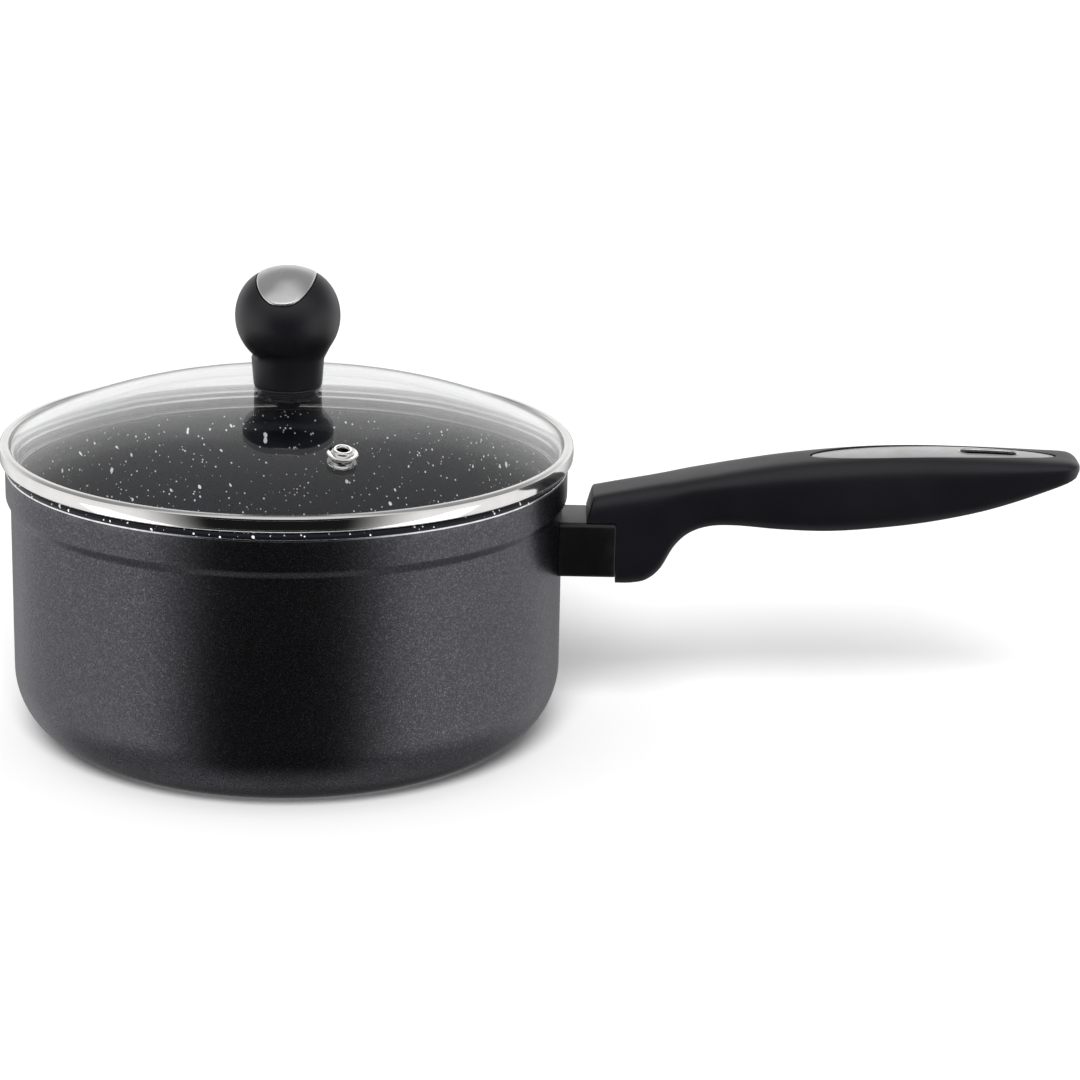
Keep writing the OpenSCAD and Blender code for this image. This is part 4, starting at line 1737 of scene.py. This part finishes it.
@dataclass(frozen=True)
class Studio:
    """The plain pale room: floor, surrounding light, lamps and camera."""

    aim: tuple[float, float, float] = (84.34 * MM, 0, 66.51 * MM)
    distance: float = 1.116
    height_angle: float = 16.73
    roll: float = 1.205
    lens: float = 111.085
    sensor: float = 36
    floor_size: float = 14.0
    ambient: float = 0.62
    front_glow: float = 0.01
    key_strength: float = 3.2
    key_height: float = 40
    key_spread: float = 26
    cards: tuple[Card, ...] = (
        Card(
            "table_card", (0.05, -0.155, 0.001), 180, (0.9, 0.1), 1.05,
            ("steel_rim", "vent_ring", "silver_cap"),
        ),
        Card("front_card", (0.1, -0.7, 0.36), 73, (1.4, 0.2), 1.6, ("silver_cap", "silver_inlay")),
        Card("back_card", (0.02, 0.4, 0.6), -37, (0.6, 0.5), 1.3, ("vent_ring",)),
    )

    def build(self) -> None:
        """Sets up floor, light and camera."""
        self._floor()
        self._surroundings()
        self._key()
        self._camera()
        bpy.context.scene.view_settings.view_transform = "Standard"

    def _card(self, card: Card) -> None:
        """Stands up a soft card that only its own pieces mirror.

        Args:
            card: The card.
        """
        lamp = bpy.data.lights.new(card.name, "AREA")
        lamp.shape = "RECTANGLE"
        lamp.size, lamp.size_y = card.size
        lamp.energy = card.glow * math.pi * card.size[0] * card.size[1]
        holder = bpy.data.objects.new(card.name, lamp)
        holder.location = card.place
        holder.rotation_euler = (math.radians(card.tilt), 0, 0)
        holder.visible_camera = False
        mirrors = bpy.data.collections.new(card.name)
        for piece in card.mirrored_by:
            mirrors.objects.link(bpy.data.objects[piece])
        holder.light_linking.receiver_collection = mirrors
        bpy.context.scene.collection.objects.link(holder)

    def add_cards(self) -> None:
        """Adds the cards that give bright metal its white edges, once the pieces are there."""
        for card in self.cards:
            self._card(card)

    def _camera(self) -> None:
        """The camera, a little above the lid, slightly rolled."""
        camera = bpy.data.cameras.new("camera")
        camera.lens = self.lens
        camera.sensor_width = self.sensor
        camera.clip_start = 0.01
        holder = bpy.data.objects.new("camera", camera)
        rise = math.radians(self.height_angle)
        back = Vector((0, -math.cos(rise), math.sin(rise)))
        turn = Matrix.Rotation(math.pi / 2 - rise, 4, "X") @ Matrix.Rotation(math.radians(self.roll), 4, "Z")
        holder.matrix_world = Matrix.Translation(Vector(self.aim) + back * self.distance) @ turn
        bpy.context.scene.collection.objects.link(holder)
        bpy.context.scene.camera = holder

    def _key(self) -> None:
        """The large soft lamp high in front, which mirrors and glass don't show."""
        lamp = bpy.data.lights.new("key", "SUN")
        lamp.energy = self.key_strength
        lamp.angle = math.radians(self.key_spread)
        holder = bpy.data.objects.new("key", lamp)
        holder.rotation_euler = (math.radians(90 - self.key_height), 0, 0)
        holder.visible_glossy = False
        holder.visible_transmission = False
        bpy.context.scene.collection.objects.link(holder)

    def _floor(self) -> None:
        """The plain pale floor."""
        half = self.floor_size / 2
        corners = [Vector((x, y, 0)) for x, y in ((-half, -half), (half, -half), (half, half), (-half, half))]
        floor = mesh_object("floor", corners, [(0, 1, 2, 3)])
        floor.visible_glossy = False
        material = bpy.data.materials.new("pale_floor")
        material.use_nodes = True
        shader = material.node_tree.nodes["Principled BSDF"]
        shader.inputs["Base Color"].default_value = (0.92, 0.92, 0.92, 1)
        shader.inputs["Roughness"].default_value = 0.9
        shader.inputs["Specular IOR Level"].default_value = 0.0
        floor.data.materials.append(material)

    def _surroundings(self) -> None:
        """Soft light: bright at the sides, dark in front, dim high up, and even on matt surfaces."""
        world = bpy.data.worlds.new("studio")
        bpy.context.scene.world = world
        world.use_nodes = True
        w = Wiring(world.node_tree)
        way = w.add("SeparateXYZ", {"Vector": w.add("TexCoord").outputs["Generated"]})
        x, y, z = way.outputs["X"], way.outputs["Y"], way.outputs["Z"]
        turn = w.sum("ABSOLUTE", w.sum("ARCTAN2", x, w.sum("MULTIPLY", y, -1.0)))
        sides = w.spread(turn, math.radians(26), math.radians(62), self.front_glow, 1.0)
        behind = w.spread(turn, math.radians(105), math.radians(140), 0.0, 1.0)
        side_fall = w.spread(z, -0.15, 0.4, 1.0, 0.32)
        back_fall = w.spread(z, 0.18, 0.66, 1.0, 0.36)
        above = w.sum("MULTIPLY_ADD", w.sum("SUBTRACT", back_fall, side_fall), behind, side_fall)
        below = w.spread(z, -0.72, -0.45, 0.4, 1.0)
        low = w.spread(z, -0.12, 0.02, 1.0, 0.0)
        far_low = w.sum("MULTIPLY", low, w.spread(turn, math.radians(135), math.radians(165), 0.0, 0.6))
        level = w.sum("MULTIPLY", w.sum("MULTIPLY", above, below), w.sum("SUBTRACT", 1.0, far_low))
        ring = w.sum("MULTIPLY", sides, level)
        in_front = w.spread(turn, math.radians(50), math.radians(100), 1.0, 0.0)
        front_top = w.sum("MULTIPLY", w.spread(z, 0.12, 0.4, 0.0, 0.8), in_front)
        overhead = w.spread(z, 0.92, 0.98, 0.0, 0.7)
        table = w.spread(z, -0.985, -0.8, 0.25, 0.0)
        glow = w.sum("MAXIMUM", w.sum("MAXIMUM", ring, front_top), w.sum("MAXIMUM", overhead, table))
        path = w.add("LightPath")
        matt, seen = path.outputs["Is Diffuse Ray"], path.outputs["Is Camera Ray"]
        on_matt = w.sum("MULTIPLY_ADD", w.sum("SUBTRACT", self.ambient, glow), matt, glow)
        strength = w.sum("MULTIPLY_ADD", w.sum("SUBTRACT", 1.0, on_matt), seen, on_matt)
        background = world.node_tree.nodes["Background"]
        background.inputs["Color"].default_value = (1, 1, 1, 1)
        world.node_tree.links.new(strength, background.inputs["Strength"])


def main() -> None:
    """Builds the object and its studio."""
    logging.basicConfig(level=logging.INFO, format="%(message)s")
    wardrobe = Wardrobe(Effects())
    studio = Studio()
    studio.build()
    for assembly in (Pan(wardrobe), Handle(wardrobe), GlassLid(wardrobe), Knob(wardrobe)):
        assembly.build()
    studio.add_cards()


if __name__ == "__main__":
    main()
